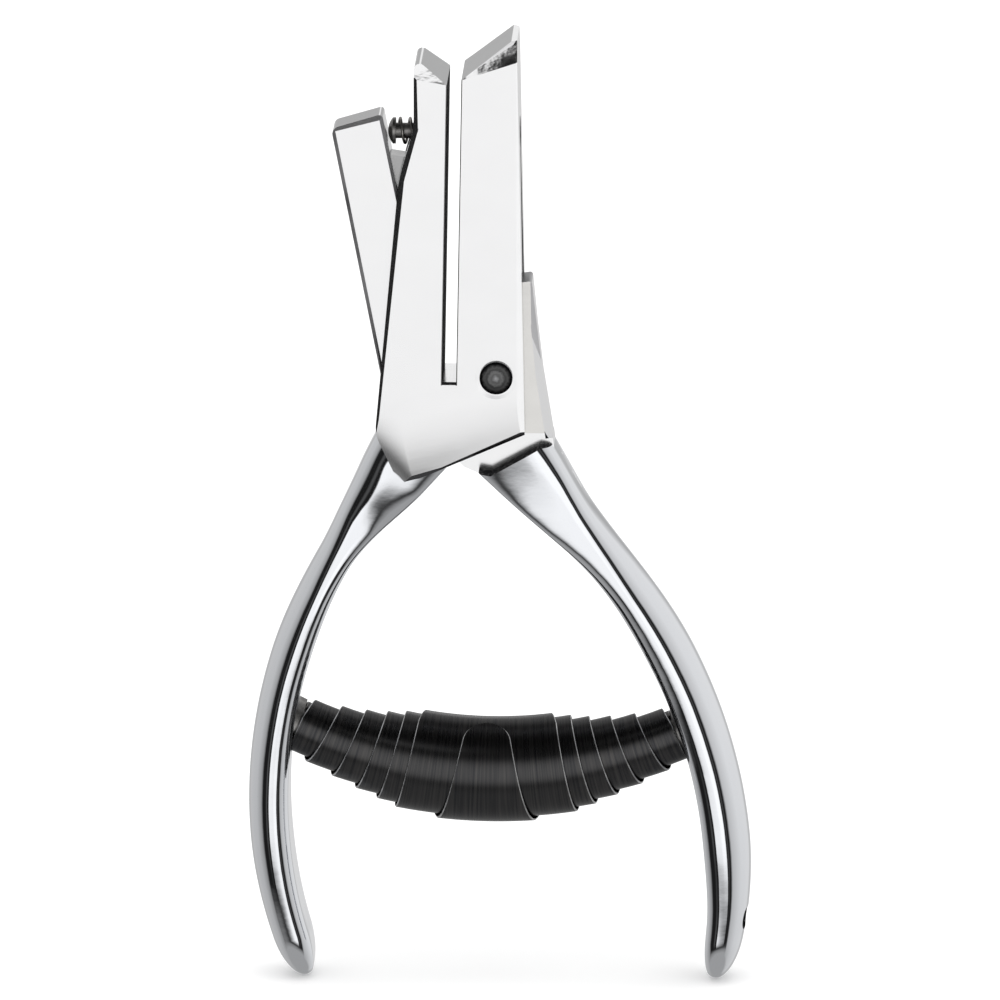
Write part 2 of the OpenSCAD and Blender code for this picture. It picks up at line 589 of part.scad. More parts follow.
// Punch: ground stem, rim that the spring pushes on, and a domed top that the arm rolls over
module punch() color(tool_steel) {
    rim_angle = asin(head_d / 2 / dome_r);
    dome = [for (i = [0:8]) let (a = rim_angle * (1 - i / 8))
        [dome_r * sin(a), dome_centre - dome_r * cos(a)]];
    on_punch_axis(0) rotate_extrude() polygon(concat(
        [[0, punch_tip], [punch_d / 2, punch_tip], [punch_d / 2, rim_end], [head_d / 2, rim_end]], dome));
}

// Die bush: cutting land at the throat, then a wider outlet through the jaw's outer side
module die_bush() color(tool_steel) {
    start = throat_wall(punch_h) + bush_sink;
    end = die_wall(punch_h) - bush_sink;
    on_punch_axis(start) difference() {
        cylinder(d = bush_d, h = end - start);
        translate([0, 0, -over]) cylinder(d = punch_d + 2 * die_clear, h = end - start + 2 * over);
        translate([0, 0, die_land_len]) cylinder(d = outlet_d, h = end - start);
    }
}

// Punch return spring: one round wire wound round the stem, between pocket floor and rim
coil_r = (pocket_d - coil_wire_d) / 2 - coil_room;
coil_start = rim_end + coil_wire_d / 2 + coil_clear;
coil_end = pocket_floor - coil_wire_d / 2 - coil_clear;
coil_rings = 8 * coil_turns;
wire_sides = 6;
coil_path = [for (i = [0:coil_rings]) let (a = 45 * i)
    [coil_start + (coil_end - coil_start) * i / coil_rings, coil_r * cos(a), coil_r * sin(a)]];
coil_gap = min([for (i = [0:coil_rings - 6], j = [i + 6:coil_rings]) norm(coil_path[i] - coil_path[j])])
    - coil_wire_d;
echo(punch_return_spring_least_gap = coil_gap);

module punch_return_spring() color(tool_steel) {
    points = [for (i = [0:coil_rings], j = [0:wire_sides - 1]) let (a = 45 * i, b = 360 * j / wire_sides)
        coil_path[i] + coil_wire_d / 2 * (cos(b) * [0, cos(a), sin(a)] + sin(b) * [1, 0, 0])];
    sides = [for (i = [0:coil_rings - 1], j = [0:wire_sides - 1])
        let (k = (j + 1) % wire_sides, p = i * wire_sides, q = p + wire_sides)
        each [[p + j, q + j, p + k], [p + k, q + j, q + k]]];
    caps = [for (j = [1:wire_sides - 2]) each [[0, j, j + 1],
        [coil_rings * wire_sides, coil_rings * wire_sides + j + 1, coil_rings * wire_sides + j]]];
    translate([pivot_x, 0, pivot_z + punch_h]) polyhedron(points, concat(sides, caps));
}

// Volute spring: one V-shaped strip rolled from its point, so both halves wind inwards to their ends
volute_steps = 24;
apex_turn = 202;              // the strip's point lies on the upper front
notch_half = 0.35;            // half width of the notch where the two halves part
round_turn = 0.065;           // share of a turn over which the strip's point rounds off
end_turn = 0.9;               // share of a turn that closes each end square to the axis
lead_growth = 0.35;           // share of the lead that grows towards the spring's ends
half_len = axis_r * axis_half * PI / 180 - collar_t - seat_clear;
strip_turns = concat([for (a = [15:15:75]) round_turn * (1 - cos(a))],
                     [for (t = [round_turn:1 / volute_steps:spring_turns]) t], [spring_turns]);
function turns_lead(t) = let (u = min(max(t - 1, 0) / (spring_turns - 1 - end_turn), 1))
    (half_len - tab_half - tab_lead) * ((1 - lead_growth) * u + lead_growth * u * u);
function strip_r(t) = spring_d / 2 - strip_t / 2 - strip_step * t;
function strip_out(t) = tab_lead * min(t, 1) + turns_lead(t)
    + tab_half * sqrt(1 - pow(1 - min(t / round_turn, 1), 2));
function strip_in(t) = max(notch_half, strip_out(t) - strip_w);
function on_strip(t, v, r) = let (psi = v / axis_r * 180 / PI + chord_tilt, phi = apex_turn + 360 * t)
    let (out = axis_r + r * cos(phi))
    [axis_centre.x + out * sin(psi), r * sin(phi), axis_centre.y - out * cos(psi)];
last_ring = len(strip_turns) - 1;
parted = [for (i = [0:last_ring]) if (strip_in(strip_turns[i]) > notch_half) i][0] - 1;
volute_gap = min([for (t = strip_turns) if (t < spring_turns - 1) let (v = strip_out(t))
    norm(on_strip(t, v, strip_r(t) - strip_t / 2) - on_strip(t + 1, v, strip_r(t + 1) + strip_t / 2))]);
echo(volute_spring_least_gap = volute_gap);
function quad(a, b, c, d) = [[a, b, c], [a, c, d]];

module volute_spring() color(blued) {
    points = [for (t = strip_turns) let (o = strip_out(t), n = strip_in(t))
        for (v = [-o, -n, n, o], s = [-1, 1]) on_strip(t, v, strip_r(t) + s * strip_t / 2)];
    bands = [for (i = [0:last_ring - 1]) let (p = 8 * i, q = p + 8)
        each concat(
            [for (c = i < parted ? [0, 2, 4] : [0, 4])
                each quad(p + c + 1, p + c + 3, q + c + 3, q + c + 1)],
            [for (c = i < parted ? [0, 2, 4] : [0, 4])
                each quad(p + c, q + c, q + c + 2, p + c + 2)],
            quad(p, p + 1, q + 1, q), quad(p + 6, q + 6, q + 7, p + 7),
            i < parted ? [] : concat(quad(p + 2, q + 2, q + 3, p + 3), quad(p + 4, p + 5, q + 5, q + 4)))];
    last = 8 * last_ring;
    notch = 8 * parted;
    ends = concat([for (c = [0, 2, 4]) each quad(c, c + 2, c + 3, c + 1)],
                  [for (c = [0, 4]) each quad(last + c, last + c + 1, last + c + 3, last + c + 2)],
                  quad(notch + 2, notch + 3, notch + 5, notch + 4));
    polyhedron(points, concat(bands, ends));
}

// Spring pegs: turned pegs, one in each handle
module frame_spring_peg() color(tool_steel) spring_peg(frame_handle);
module lever_spring_peg() color(tool_steel) spring_peg(lever_handle);

echo(punch_travel = punch_travel, travel_per_radian = punch_travel / (close_angle * PI / 180));
echo(frame_seat = frame_seat, lever_seat = lever_seat, axis_r = axis_r, axis_centre = axis_centre);

frame();
lever();
pivot_rivet();
punch();
punch_return_spring();
die_bush();
volute_spring();
frame_spring_peg();
lever_spring_peg();
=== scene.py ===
"""Hole punch pliers: chromed forged frame and lever, blued volute spring, hardened punch and die."""

import bmesh
import bpy
import numpy as np
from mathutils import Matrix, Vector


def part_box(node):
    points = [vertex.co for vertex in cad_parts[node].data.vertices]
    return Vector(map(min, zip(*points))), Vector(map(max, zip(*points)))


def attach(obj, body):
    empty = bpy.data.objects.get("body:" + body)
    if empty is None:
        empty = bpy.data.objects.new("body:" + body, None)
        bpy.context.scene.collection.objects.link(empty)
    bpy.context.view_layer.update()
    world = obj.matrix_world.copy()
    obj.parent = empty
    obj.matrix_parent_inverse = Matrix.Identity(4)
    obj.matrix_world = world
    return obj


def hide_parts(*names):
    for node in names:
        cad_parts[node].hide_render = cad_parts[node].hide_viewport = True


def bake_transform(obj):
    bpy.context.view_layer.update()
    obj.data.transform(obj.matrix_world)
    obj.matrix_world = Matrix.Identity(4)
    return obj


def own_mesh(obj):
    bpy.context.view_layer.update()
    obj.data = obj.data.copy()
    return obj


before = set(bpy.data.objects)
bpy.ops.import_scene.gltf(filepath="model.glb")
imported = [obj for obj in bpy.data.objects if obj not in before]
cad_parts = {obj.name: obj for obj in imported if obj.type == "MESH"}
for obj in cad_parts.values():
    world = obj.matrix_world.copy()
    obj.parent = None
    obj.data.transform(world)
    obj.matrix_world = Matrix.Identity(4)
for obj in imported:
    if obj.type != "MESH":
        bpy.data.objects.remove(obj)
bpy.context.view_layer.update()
scene = bpy.context.scene
scene.view_settings.view_transform = "Standard"

# Camera: a long lens in front of the tool and a little above it, turned slightly to the lever's side.
# It looks at the middle of the tool's height.
LOOK_AT = np.array([-0.0001, 0.0, 0.07845])
CAMERA_DISTANCE = 2.388
azimuth, elevation = np.radians(2.0), np.radians(14.0)
back = np.array([np.cos(elevation) * np.sin(azimuth), -np.cos(elevation) * np.cos(azimuth),
                 np.sin(elevation)])
camera_data = bpy.data.cameras.new("camera")
camera_data.lens = 540.0
camera_data.sensor_width = 36.0
camera = bpy.data.objects.new("camera", camera_data)
camera.location = LOOK_AT + back * CAMERA_DISTANCE
camera.rotation_euler = (np.pi / 2 - elevation, 0.0, azimuth)
scene.collection.objects.link(camera)
scene.camera = camera

# Studio: polished metal shows its surroundings, so the world is a set of large soft panels by
# direction: a white panel in front between black flags, light grey walls around and behind, and a
# grey glow from the floor. The camera sees plain white, and matt surfaces get one even soft light.
world = bpy.data.worlds.new("studio")
scene.world = world
world.use_nodes = True
wt = world.node_tree
wt.nodes.clear()


def studio_math(operation, a, b=None, c=None):
    """One Math node of the studio: operation on sockets or numbers a, b and c; gives its output."""
    node = wt.nodes.new("ShaderNodeMath")
    node.operation = operation
    for socket, value in zip(node.inputs, (a, b, c)):
        if isinstance(value, bpy.types.NodeSocket):
            wt.links.new(value, socket)
        elif value is not None:
            socket.default_value = value
    return node.outputs[0]


def studio_ramp(value, stops):
    """Brightness that runs through stops (place, grey) in straight lines; place is from 0 to 1."""
    node = wt.nodes.new("ShaderNodeValToRGB")
    elements = node.color_ramp.elements
    elements[0].position, elements[1].position = stops[0][0], stops[-1][0]
    elements[0].color = (*[stops[0][1]] * 3, 1.0)
    elements[1].color = (*[stops[-1][1]] * 3, 1.0)
    for place, grey in stops[1:-1]:
        elements.new(place).color = (grey, grey, grey, 1.0)
    wt.links.new(value, node.inputs[0])
    return node.outputs[0]


# turn runs from 0 to 1 round the tool with the front at a half, and rise from 0 below to 1 above.
direction = wt.nodes.new("ShaderNodeTexCoord").outputs["Generated"]
split = wt.nodes.new("ShaderNodeSeparateXYZ")
wt.links.new(direction, split.inputs[0])
turn = studio_math("ARCTAN2", split.outputs["X"], studio_math("MULTIPLY", split.outputs["Y"], -1.0))
turn = studio_math("MULTIPLY_ADD", turn, 0.5 / np.pi, 0.5)
rise = studio_math("ARCSINE", split.outputs["Z"])
rise = studio_math("MULTIPLY_ADD", rise, 1.0 / np.pi, 0.5)


def around(degrees):
    """Place on the ramp of a panel's edge, in degrees round from the front, to the right positive."""
    return 0.5 + degrees / 360.0


def above(degrees):
    """Place on the ramp of a panel's edge, in degrees over the horizon."""
    return (degrees + 90.0) / 180.0


front_panel = studio_ramp(turn, [(0.0, 0.0), (around(-55), 0.0), (around(-49), 0.06),
                                (around(-44), 0.06), (around(-39), 0.0), (around(-31), 0.0),
                                (around(-28), 1.05), (around(-9), 1.0), (around(9), 1.0),
                                (around(13), 1.1), (around(34), 1.1), (around(37), 0.0),
                                (around(41), 0.0), (around(44), 0.04), (around(48), 0.04),
                                (around(52), 0.0), (1.0, 0.0)])
front_height = studio_ramp(rise, [(0.0, 0.0), (above(-31), 0.0), (above(-28), 0.08), (above(-24), 0.4),
                                 (above(-19), 0.85), (above(-15), 0.95), (above(-12), 1.0),
                                 (above(8), 1.0), (above(16), 0.82), (above(22), 0.6),
                                 (above(27), 0.0), (1.0, 0.0)])
top_panel = studio_ramp(turn, [(0.0, 0.0), (around(-38), 0.0), (around(-36.5), 1.0), (around(-31.6), 1.0),
                              (around(-31.0), 0.0), (around(4), 0.0), (around(6), 1.0), (around(18), 1.0),
                              (around(20), 0.0), (1.0, 0.0)])
top_height = studio_ramp(rise, [(0.0, 0.0), (above(42), 0.0), (above(44), 1.0), (above(50), 1.0),
                               (above(52), 0.0), (1.0, 0.0)])
side_walls = studio_ramp(turn, [(0.0, 0.4), (around(-165), 0.42), (around(-150), 0.58), (around(-115), 0.54),
                               (around(-88), 0.34), (around(-76), 0.0), (around(58), 0.0), (around(67), 0.54),
                               (around(112), 0.76), (around(150), 0.78), (around(165), 0.42), (1.0, 0.4)])
wall_height = studio_ramp(rise, [(0.0, 0.03), (above(-66), 0.08), (above(-46), 0.7), (above(-20), 0.9),
                                (above(0), 1.0), (above(45), 1.0), (above(62), 0.1), (1.0, 0.05)])
back_sheet = studio_ramp(turn, [(0.0, 0.3), (around(-170), 0.3), (around(-162), 0.0), (around(162), 0.0),
                               (around(170), 0.3), (1.0, 0.3)])
sheet_height = studio_ramp(rise, [(0.0, 0.0), (above(-40), 0.0), (above(-24), 1.0), (above(-7), 1.0),
                                 (above(-3), 0.0), (1.0, 0.0)])
far_sheet = studio_ramp(turn, [(0.0, 0.55), (around(-177), 0.55), (around(-174), 0.0), (around(174), 0.0),
                              (around(177), 0.55), (1.0, 0.55)])
far_height = studio_ramp(rise, [(0.0, 0.0), (above(7), 0.0), (above(9), 1.0), (above(19), 1.0),
                               (above(21), 0.0), (1.0, 0.0)])
floor_glow = studio_ramp(rise, [(0.0, 0.34), (above(-44), 0.34), (above(-36), 0.22), (above(-31), 0.05),
                               (above(-28), 0.0), (1.0, 0.0)])
panels = studio_math("ADD", studio_math("MULTIPLY", front_panel, front_height),
                    studio_math("MULTIPLY", side_walls, wall_height))
panels = studio_math("MULTIPLY_ADD", top_panel, top_height, panels)
panels = studio_math("MULTIPLY_ADD", back_sheet, sheet_height, panels)
panels = studio_math("MULTIPLY_ADD", far_sheet, far_height, panels)
DARKEST = 0.012
panels = studio_math("ADD", studio_math("MAXIMUM", panels, floor_glow), DARKEST)
paths = wt.nodes.new("ShaderNodeLightPath")
studio_level = studio_math("MULTIPLY", panels, paths.outputs["Is Glossy Ray"])
plain = studio_math("SUBTRACT", 1.0, paths.outputs["Is Glossy Ray"])
studio_level = studio_math("ADD", studio_level, plain)
background = wt.nodes.new("ShaderNodeBackground")
background.inputs["Color"].default_value = (1.0, 1.0, 1.0, 1.0)
wt.links.new(studio_level, background.inputs["Strength"])
world_output = wt.nodes.new("ShaderNodeOutputWorld")
wt.links.new(background.outputs[0], world_output.inputs["Surface"])

# Floor: a pale matt sheet that the handle tips stand on. It takes their soft contact shadow, and
# what the camera sees of it is lifted to the white of the background.
FLOOR_HALF, FLOOR_LIFT = 3.0, 0.16
floor_mesh = bpy.data.meshes.new("floor")
floor_corners = [(-1, -1, 0), (1, -1, 0), (1, 1, 0), (-1, 1, 0)]
floor_mesh.from_pydata(np.array(floor_corners) * FLOOR_HALF, [], [(0, 1, 2, 3)])
floor = bpy.data.objects.new("floor", floor_mesh)
scene.collection.objects.link(floor)
floor.visible_glossy = False
floor_paint = bpy.data.materials.new("pale_floor")
floor_paint.use_nodes = True
floor_shader = floor_paint.node_tree.nodes["Principled BSDF"]
floor_shader.inputs["Base Color"].default_value = (0.92, 0.92, 0.92, 1.0)
floor_shader.inputs["Roughness"].default_value = 1.0
floor_shader.inputs["Specular IOR Level"].default_value = 0.0
floor_paths = floor_paint.node_tree.nodes.new("ShaderNodeLightPath")
floor_lift = floor_paint.node_tree.nodes.new("ShaderNodeMath")
floor_lift.operation = "MULTIPLY"
floor_lift.inputs[1].default_value = FLOOR_LIFT
floor_paint.node_tree.links.new(floor_paths.outputs["Is Camera Ray"], floor_lift.inputs[0])
floor_shader.inputs["Emission Color"].default_value = (1.0, 1.0, 1.0, 1.0)
floor_paint.node_tree.links.new(floor_lift.outputs[0], floor_shader.inputs["Emission Strength"])
floor_mesh.materials.append(floor_paint)

# Overhead lamp: one large soft light above and a little in front of the tool, which gives the contact
# shadow on the floor and does not show in the chrome.
lamp_data = bpy.data.lights.new("overhead", "AREA")
lamp_data.size = 1.2
lamp_data.energy = 6.0
lamp = bpy.data.objects.new("overhead", lamp_data)
lamp.location = (0.0, -0.2, 1.4)
lamp.visible_glossy = False
scene.collection.objects.link(lamp)

# Chrome: bright plating over ground and polished steel. Its fine ripple breaks the edges of what it
# mirrors: little on the flat body, which is ground to a satin, more on the hand-polished handles.
GRAIN_SCALE, SWELL_SCALE, SWELL_WEIGHT = (500.0, 500.0, 900.0), 150.0, 12.0
BRIGHT, SATIN, BLUISH = (0.9, 0.9, 0.905), (0.92, 0.92, 0.925), (0.875, 0.89, 0.92)
ripple = bpy.data.node_groups.new("plating_ripple", "ShaderNodeTree")
ripple.interface.new_socket("Height", in_out="INPUT", socket_type="NodeSocketFloat")
ripple.interface.new_socket("Normal", in_out="OUTPUT", socket_type="NodeSocketVector")
ripple.interface.new_socket("Smear", in_out="OUTPUT", socket_type="NodeSocketFloat")
ripple_in = ripple.nodes.new("NodeGroupInput")
ripple_out = ripple.nodes.new("NodeGroupOutput")
place = ripple.nodes.new("ShaderNodeTexCoord").outputs["Object"]
stretch = ripple.nodes.new("ShaderNodeMapping")
stretch.inputs["Scale"].default_value = GRAIN_SCALE
ripple.links.new(place, stretch.inputs["Vector"])
grain = ripple.nodes.new("ShaderNodeTexNoise")
grain.inputs["Scale"].default_value = 1.0
grain.inputs["Detail"].default_value = 2.0
ripple.links.new(stretch.outputs[0], grain.inputs["Vector"])
swell = ripple.nodes.new("ShaderNodeTexNoise")
swell.inputs["Scale"].default_value = SWELL_SCALE
swell.inputs["Detail"].default_value = 1.0
ripple.links.new(place, swell.inputs["Vector"])
height = ripple.nodes.new("ShaderNodeMath")
height.operation = "MULTIPLY_ADD"
height.inputs[1].default_value = SWELL_WEIGHT
ripple.links.new(swell.outputs[0], height.inputs[0])
ripple.links.new(grain.outputs[0], height.inputs[2])
ripple_bump = ripple.nodes.new("ShaderNodeBump")
ripple_bump.inputs["Strength"].default_value = 1.0
ripple.links.new(ripple_in.outputs["Height"], ripple_bump.inputs["Distance"])
ripple.links.new(height.outputs[0], ripple_bump.inputs["Height"])
ripple.links.new(ripple_bump.outputs[0], ripple_out.inputs["Normal"])
ripple.links.new(swell.outputs[0], ripple_out.inputs["Smear"])


def chrome_plate(name, ripple_height, roughness, tone, spread=0.27):
    """Chrome whose ripple is so many metres high; its roughness smears from place to place by a share
    of itself, the spread, up and down."""
    material = bpy.data.materials.new(name)
    material.use_nodes = True
    shader = material.node_tree.nodes["Principled BSDF"]
    shader.inputs["Base Color"].default_value = (*tone, 1.0)
    shader.inputs["Metallic"].default_value = 1.0
    rippled = material.node_tree.nodes.new("ShaderNodeGroup")
    rippled.node_tree = ripple
    rippled.inputs["Height"].default_value = ripple_height
    material.node_tree.links.new(rippled.outputs["Normal"], shader.inputs["Normal"])
    smear = material.node_tree.nodes.new("ShaderNodeMapRange")
    smear.inputs["From Min"].default_value = 0.3
    smear.inputs["From Max"].default_value = 0.7
    smear.inputs["To Min"].default_value = roughness * (1.0 - spread)
    smear.inputs["To Max"].default_value = roughness * (1.0 + spread)
    material.node_tree.links.new(rippled.outputs["Smear"], smear.inputs["Value"])
    material.node_tree.links.new(smear.outputs[0], shader.inputs["Roughness"])
    return material


# The rolled-off faces have the finish of the flats, in a slot of their own that is shaded smooth.
chrome = chrome_plate("chrome_flat", 2.0e-6, 0.17, SATIN, 0.04)
chrome_roll = chrome_plate("chrome_roll", 2.0e-6, 0.17, SATIN, 0.04)
chrome_grip = chrome_plate("chrome_grip", 7.0e-6, 0.06, BLUISH)

# Sawn steel: the walls of slots and drilled holes are bare, rough and speckled with bright grains, and their
# near-black tone is painted shade of these recesses.
sawn_and_shade = bpy.data.materials.new("sawn_steel_and_shade")
sawn_and_shade.use_nodes = True
st = sawn_and_shade.node_tree
sawn_shader = st.nodes["Principled BSDF"]
sawn_shader.inputs["Specular IOR Level"].default_value = 0.06
sawn_shader.inputs["Roughness"].default_value = 0.7
speckle = st.nodes.new("ShaderNodeTexNoise")
speckle.inputs["Scale"].default_value = 2600.0
speckle.inputs["Detail"].default_value = 2.0
st.links.new(st.nodes.new("ShaderNodeTexCoord").outputs["Object"], speckle.inputs["Vector"])
speckle_and_shade_tone = st.nodes.new("ShaderNodeValToRGB")
speckle_and_shade_tone.color_ramp.elements[0].position = 0.58
speckle_and_shade_tone.color_ramp.elements[0].color = (0.012, 0.012, 0.013, 1.0)
speckle_and_shade_tone.color_ramp.elements[1].position = 0.78
speckle_and_shade_tone.color_ramp.elements[1].color = (0.3, 0.3, 0.3, 1.0)
st.links.new(speckle.outputs[0], speckle_and_shade_tone.inputs[0])
st.links.new(speckle_and_shade_tone.outputs[0], sawn_shader.inputs["Base Color"])

# Frame: a drop-forged steel body with both jaws, the paper throat and one handle, ground flat on
# its faces, polished and chromed. Body and handle are one piece of metal.
MM = 0.001
PIVOT = np.array([-0.5, 100.0])
SPREAD = 80.1
GRIP_DEPTH, ROOT_DEPTH = 15.4, 13.8
ROOT_Z, WAIST_Z = 84.4, 68.9
SWELL_LENGTH, GRIP_SWELL, GRIP_SWELL_RATE = 16.0, 0.5, 1.4
FLARE_SLOPE, FLARE_SOFT = 0.36, 3.0
TIP_LENGTH, TIP_TURN, TIP_THIN_Z, TIP_SHALLOW = 7.0, np.radians(83.0), 24.0, 2.4
DIP_Z, DIP_LENGTH, FILLET_Z, FILLET_LENGTH, LIP_Z = 60.0, 16.0, 75.5, 8.0, 77.0
BOX_Z, BOX_LENGTH = 63.0, 18.0
INNER_FLAT, INNER_CORNER = 0.64, 0.1
RINGS, SIDES, TIP_RINGS = 170, 128, 30


def smooth_step(t):
    """Smooth rise from 0 to 1 as t goes from 0 to 1: 3 t squared less 2 t cubed."""
    t = np.clip(t, 0.0, 1.0)
    return t * t * (3.0 - 2.0 * t)


def handle_line(z, side, wide_z, bow_r, tip_r, lean):
    """Middle line of a handle at height z: an arc of bow_r above wide_z and of tip_r below it, which
    runs out straight at the greatest lean. Gives x (before the thickness) and the lean."""
    r = np.where(z > wide_z, bow_r, tip_r)
    a = np.minimum(np.arcsin(np.clip((z - wide_z) / r, -1.0, 1.0)), np.radians(lean))
    x = SPREAD / 2 - r * (1.0 - np.cos(a)) - (z - wide_z - r * np.sin(a)) * np.tan(a)
    return side * x, a


def handle_section(c):
    """Half width of a handle's section, from -1 inside to 1 outside: the oval's cosine c, held by a
    soft limit where the oval is cut off flat on the inner side."""
    u, lowest, highest = ((v + np.sqrt(v * v + INNER_CORNER ** 2)) / 2
                          for v in (c + INNER_FLAT, INNER_FLAT - 1.0, INNER_FLAT + 1.0))
    return -1.0 + 2.0 * (u - lowest) / (highest - lowest)


def handle_grid(side, wide_z, bow_r, tip_r, lean, grip_w, waist_w, root_w, top_z, flare_z, thin, box,
                dip, fillet, lip):
    """Surface of a handle as rings of points from its top to its tip: the section is set across the
    middle line, slims from the root to the waist, swells to the grip and thins to the tip, where it
    shrinks along a quarter turn. Above flare_z its outer side thickens by a softened ramp e, and the
    oval turns into a rounded box by the power q of its sine and cosine. Its depth d shrinks by
    dip above the waist, and rises again by fillet at the root, or along an arc by lip to a shoulder."""
    turns = np.linspace(0.0, 1.0, TIP_RINGS + 1)[1:] * TIP_TURN
    z = np.concatenate([np.linspace(top_z, TIP_LENGTH, RINGS), TIP_LENGTH * (1.0 - np.sin(turns))])
    shrink = np.concatenate([np.ones(RINGS), np.cos(turns)])
    x, a = handle_line(z, side, wide_z, bow_r, tip_r, lean)
    w = grip_w + (waist_w - grip_w) * smooth_step(1.0 + (z - WAIST_Z) / SWELL_LENGTH)
    w = w + (root_w - waist_w) * smooth_step((z - WAIST_Z) / (ROOT_Z - WAIST_Z))
    w = w + GRIP_SWELL * smooth_step((WAIST_Z - z) / WAIST_Z * GRIP_SWELL_RATE)
    w = w - thin * smooth_step(1.0 - z / TIP_THIN_Z)
    e = FLARE_SLOPE * (z - flare_z + np.sqrt((z - flare_z) ** 2 + FLARE_SOFT ** 2)) / 2
    d = ROOT_DEPTH + (GRIP_DEPTH - ROOT_DEPTH) * smooth_step((ROOT_Z - z) / (ROOT_Z - WAIST_Z) / 2)
    d = d - TIP_SHALLOW * smooth_step(1.0 - z / TIP_THIN_Z) - dip * smooth_step((z - DIP_Z) / DIP_LENGTH)
    d = d + fillet * smooth_step((z - FILLET_Z) / FILLET_LENGTH) + lip * np.maximum(z - LIP_Z, 0.0) ** 2
    b = np.linspace(0.0, 2.0 * np.pi, SIDES, endpoint=False)[None, :]
    q = (1.0 - box * smooth_step((z - BOX_Z) / BOX_LENGTH))[:, None]
    c, s = (np.sign(f) * np.abs(f) ** q for f in (np.cos(b), np.sin(b)))
    n = (shrink / 2)[:, None] * ((w + e)[:, None] * handle_section(c) + e[:, None])
    points = np.empty((len(z), SIDES, 3))
    points[..., 0] = (x - side * grip_w / 2)[:, None] + side * np.cos(a)[:, None] * n
    points[..., 1] = (shrink * d / 2)[:, None] * s
    points[..., 2] = np.maximum(z[:, None] + np.sin(a)[:, None] * n, 0.0)
    return points * MM


def outward(obj):
    """Merges doubled points of a mesh and turns all its faces outwards."""
    bm = bmesh.new()
    bm.from_mesh(obj.data)
    bmesh.ops.remove_doubles(bm, verts=bm.verts, dist=1e-6)
    bmesh.ops.recalc_face_normals(bm, faces=bm.faces)
    bm.to_mesh(obj.data)
    bm.free()


def closed_loft(name, grid, material):
    """Mesh object of a grid of rings, closed round each ring and capped at both ends."""
    rings, sides = grid.shape[:2]
    i, j = np.meshgrid(np.arange(rings - 1), np.arange(sides), indexing="ij")
    k = (j + 1) % sides
    quads = np.stack([i * sides + j, i * sides + k, (i + 1) * sides + k, (i + 1) * sides + j], -1)
    ends = [list(range(sides))[::-1], list(range((rings - 1) * sides, rings * sides))]
    mesh = bpy.data.meshes.new(name)
    mesh.from_pydata(grid.reshape(-1, 3), [], quads.reshape(-1, 4).tolist() + ends)
    mesh.materials.append(material)
    obj = bpy.data.objects.new(name, mesh)
    scene.collection.objects.link(obj)
    outward(obj)
    return obj


def prism(name, outline, y_from, y_to, material):
    """Mesh object of a flat outline in X and Z, in millimetres from the pivot, drawn from y to y."""
    outline = np.asarray(outline, float) + PIVOT
    count = len(outline)
    points = np.concatenate([np.column_stack([outline[:, 0], np.full(count, y), outline[:, 1]])
                             for y in (y_from, y_to)])
    j = np.arange(count)
    k = (j + 1) % count
    faces = np.stack([j, k, k + count, j + count], -1).tolist()
    mesh = bpy.data.meshes.new(name)
    mesh.from_pydata(points * MM, [], faces + [list(j)[::-1], list(j + count)])
    mesh.materials.append(material)
    obj = bpy.data.objects.new(name, mesh)
    scene.collection.objects.link(obj)
    outward(obj)
    return obj


def round_bar(name, start, end, radius, material, sides=96):
    """Mesh object of a round bar between two points, in millimetres."""
    start, end = np.asarray(start, float), np.asarray(end, float)
    along = (end - start) / np.linalg.norm(end - start)
    u = np.cross(along, (0.0, 1.0, 0.0))
    u /= np.linalg.norm(u)
    v = np.cross(along, u)
    b = np.linspace(0.0, 2.0 * np.pi, sides, endpoint=False)
    ring = radius * (np.cos(b)[:, None] * u + np.sin(b)[:, None] * v)
    return closed_loft(name, np.stack([start + ring, end + ring]) * MM, material)


def carve(obj, operation, other):
    """Joins another mesh to obj, or cuts it off, and takes the other away."""
    modifier = obj.modifiers.new("carve", "BOOLEAN")
    modifier.operation = operation
    modifier.object = other
    modifier.solver = "EXACT"
    modifier.material_mode = "TRANSFER"
    result = bpy.data.meshes.new_from_object(obj.evaluated_get(bpy.context.evaluated_depsgraph_get()))
    obj.modifiers.clear()
    obj.data = result
    bpy.data.objects.remove(other)


def node_copy(name, node, material):
    """New object with a merged copy of a CAD node's mesh, in its own material and plain normals."""
    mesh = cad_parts[node].data.copy()
    mesh.name = name
    mesh.materials.clear()
    mesh.materials.append(material)
    if "custom_normal" in mesh.attributes:  # the CAD mesh's own normals would shade cut faces wrongly
        mesh.attributes.remove(mesh.attributes["custom_normal"])
    obj = bpy.data.objects.new(name, mesh)
    scene.collection.objects.link(obj)
    bm = bmesh.new()
    bm.from_mesh(mesh)
    bmesh.ops.remove_doubles(bm, verts=bm.verts, dist=1e-6)
    bm.to_mesh(mesh)
    bm.free()
    return obj


CORNER_BEND, FLAT_BEND = np.radians(22.0), np.radians(4.0)


def crisp_forging(obj):
    """Smooth shading, sharp at corners and wherever the ground flats of front and back end."""
    mesh = obj.data
    mesh.shade_smooth()
    finish = [material.name for material in mesh.materials]
    bm = bmesh.new()
    bm.from_mesh(mesh)
    for edge in bm.edges:
        if len(edge.link_faces) == 2:
            one, two = edge.link_faces
            bend = edge.calc_face_angle(0.0)
            kinds = {finish[one.material_index], finish[two.material_index]}
            flats = chrome_grip.name not in kinds and kinds != {chrome_roll.name}
            facing = max(abs(one.normal.y), abs(two.normal.y)) > 0.5
            edge.smooth = not (bend > CORNER_BEND or (flats and facing and bend > FLAT_BEND))
    bm.to_mesh(mesh)
    bm.free()


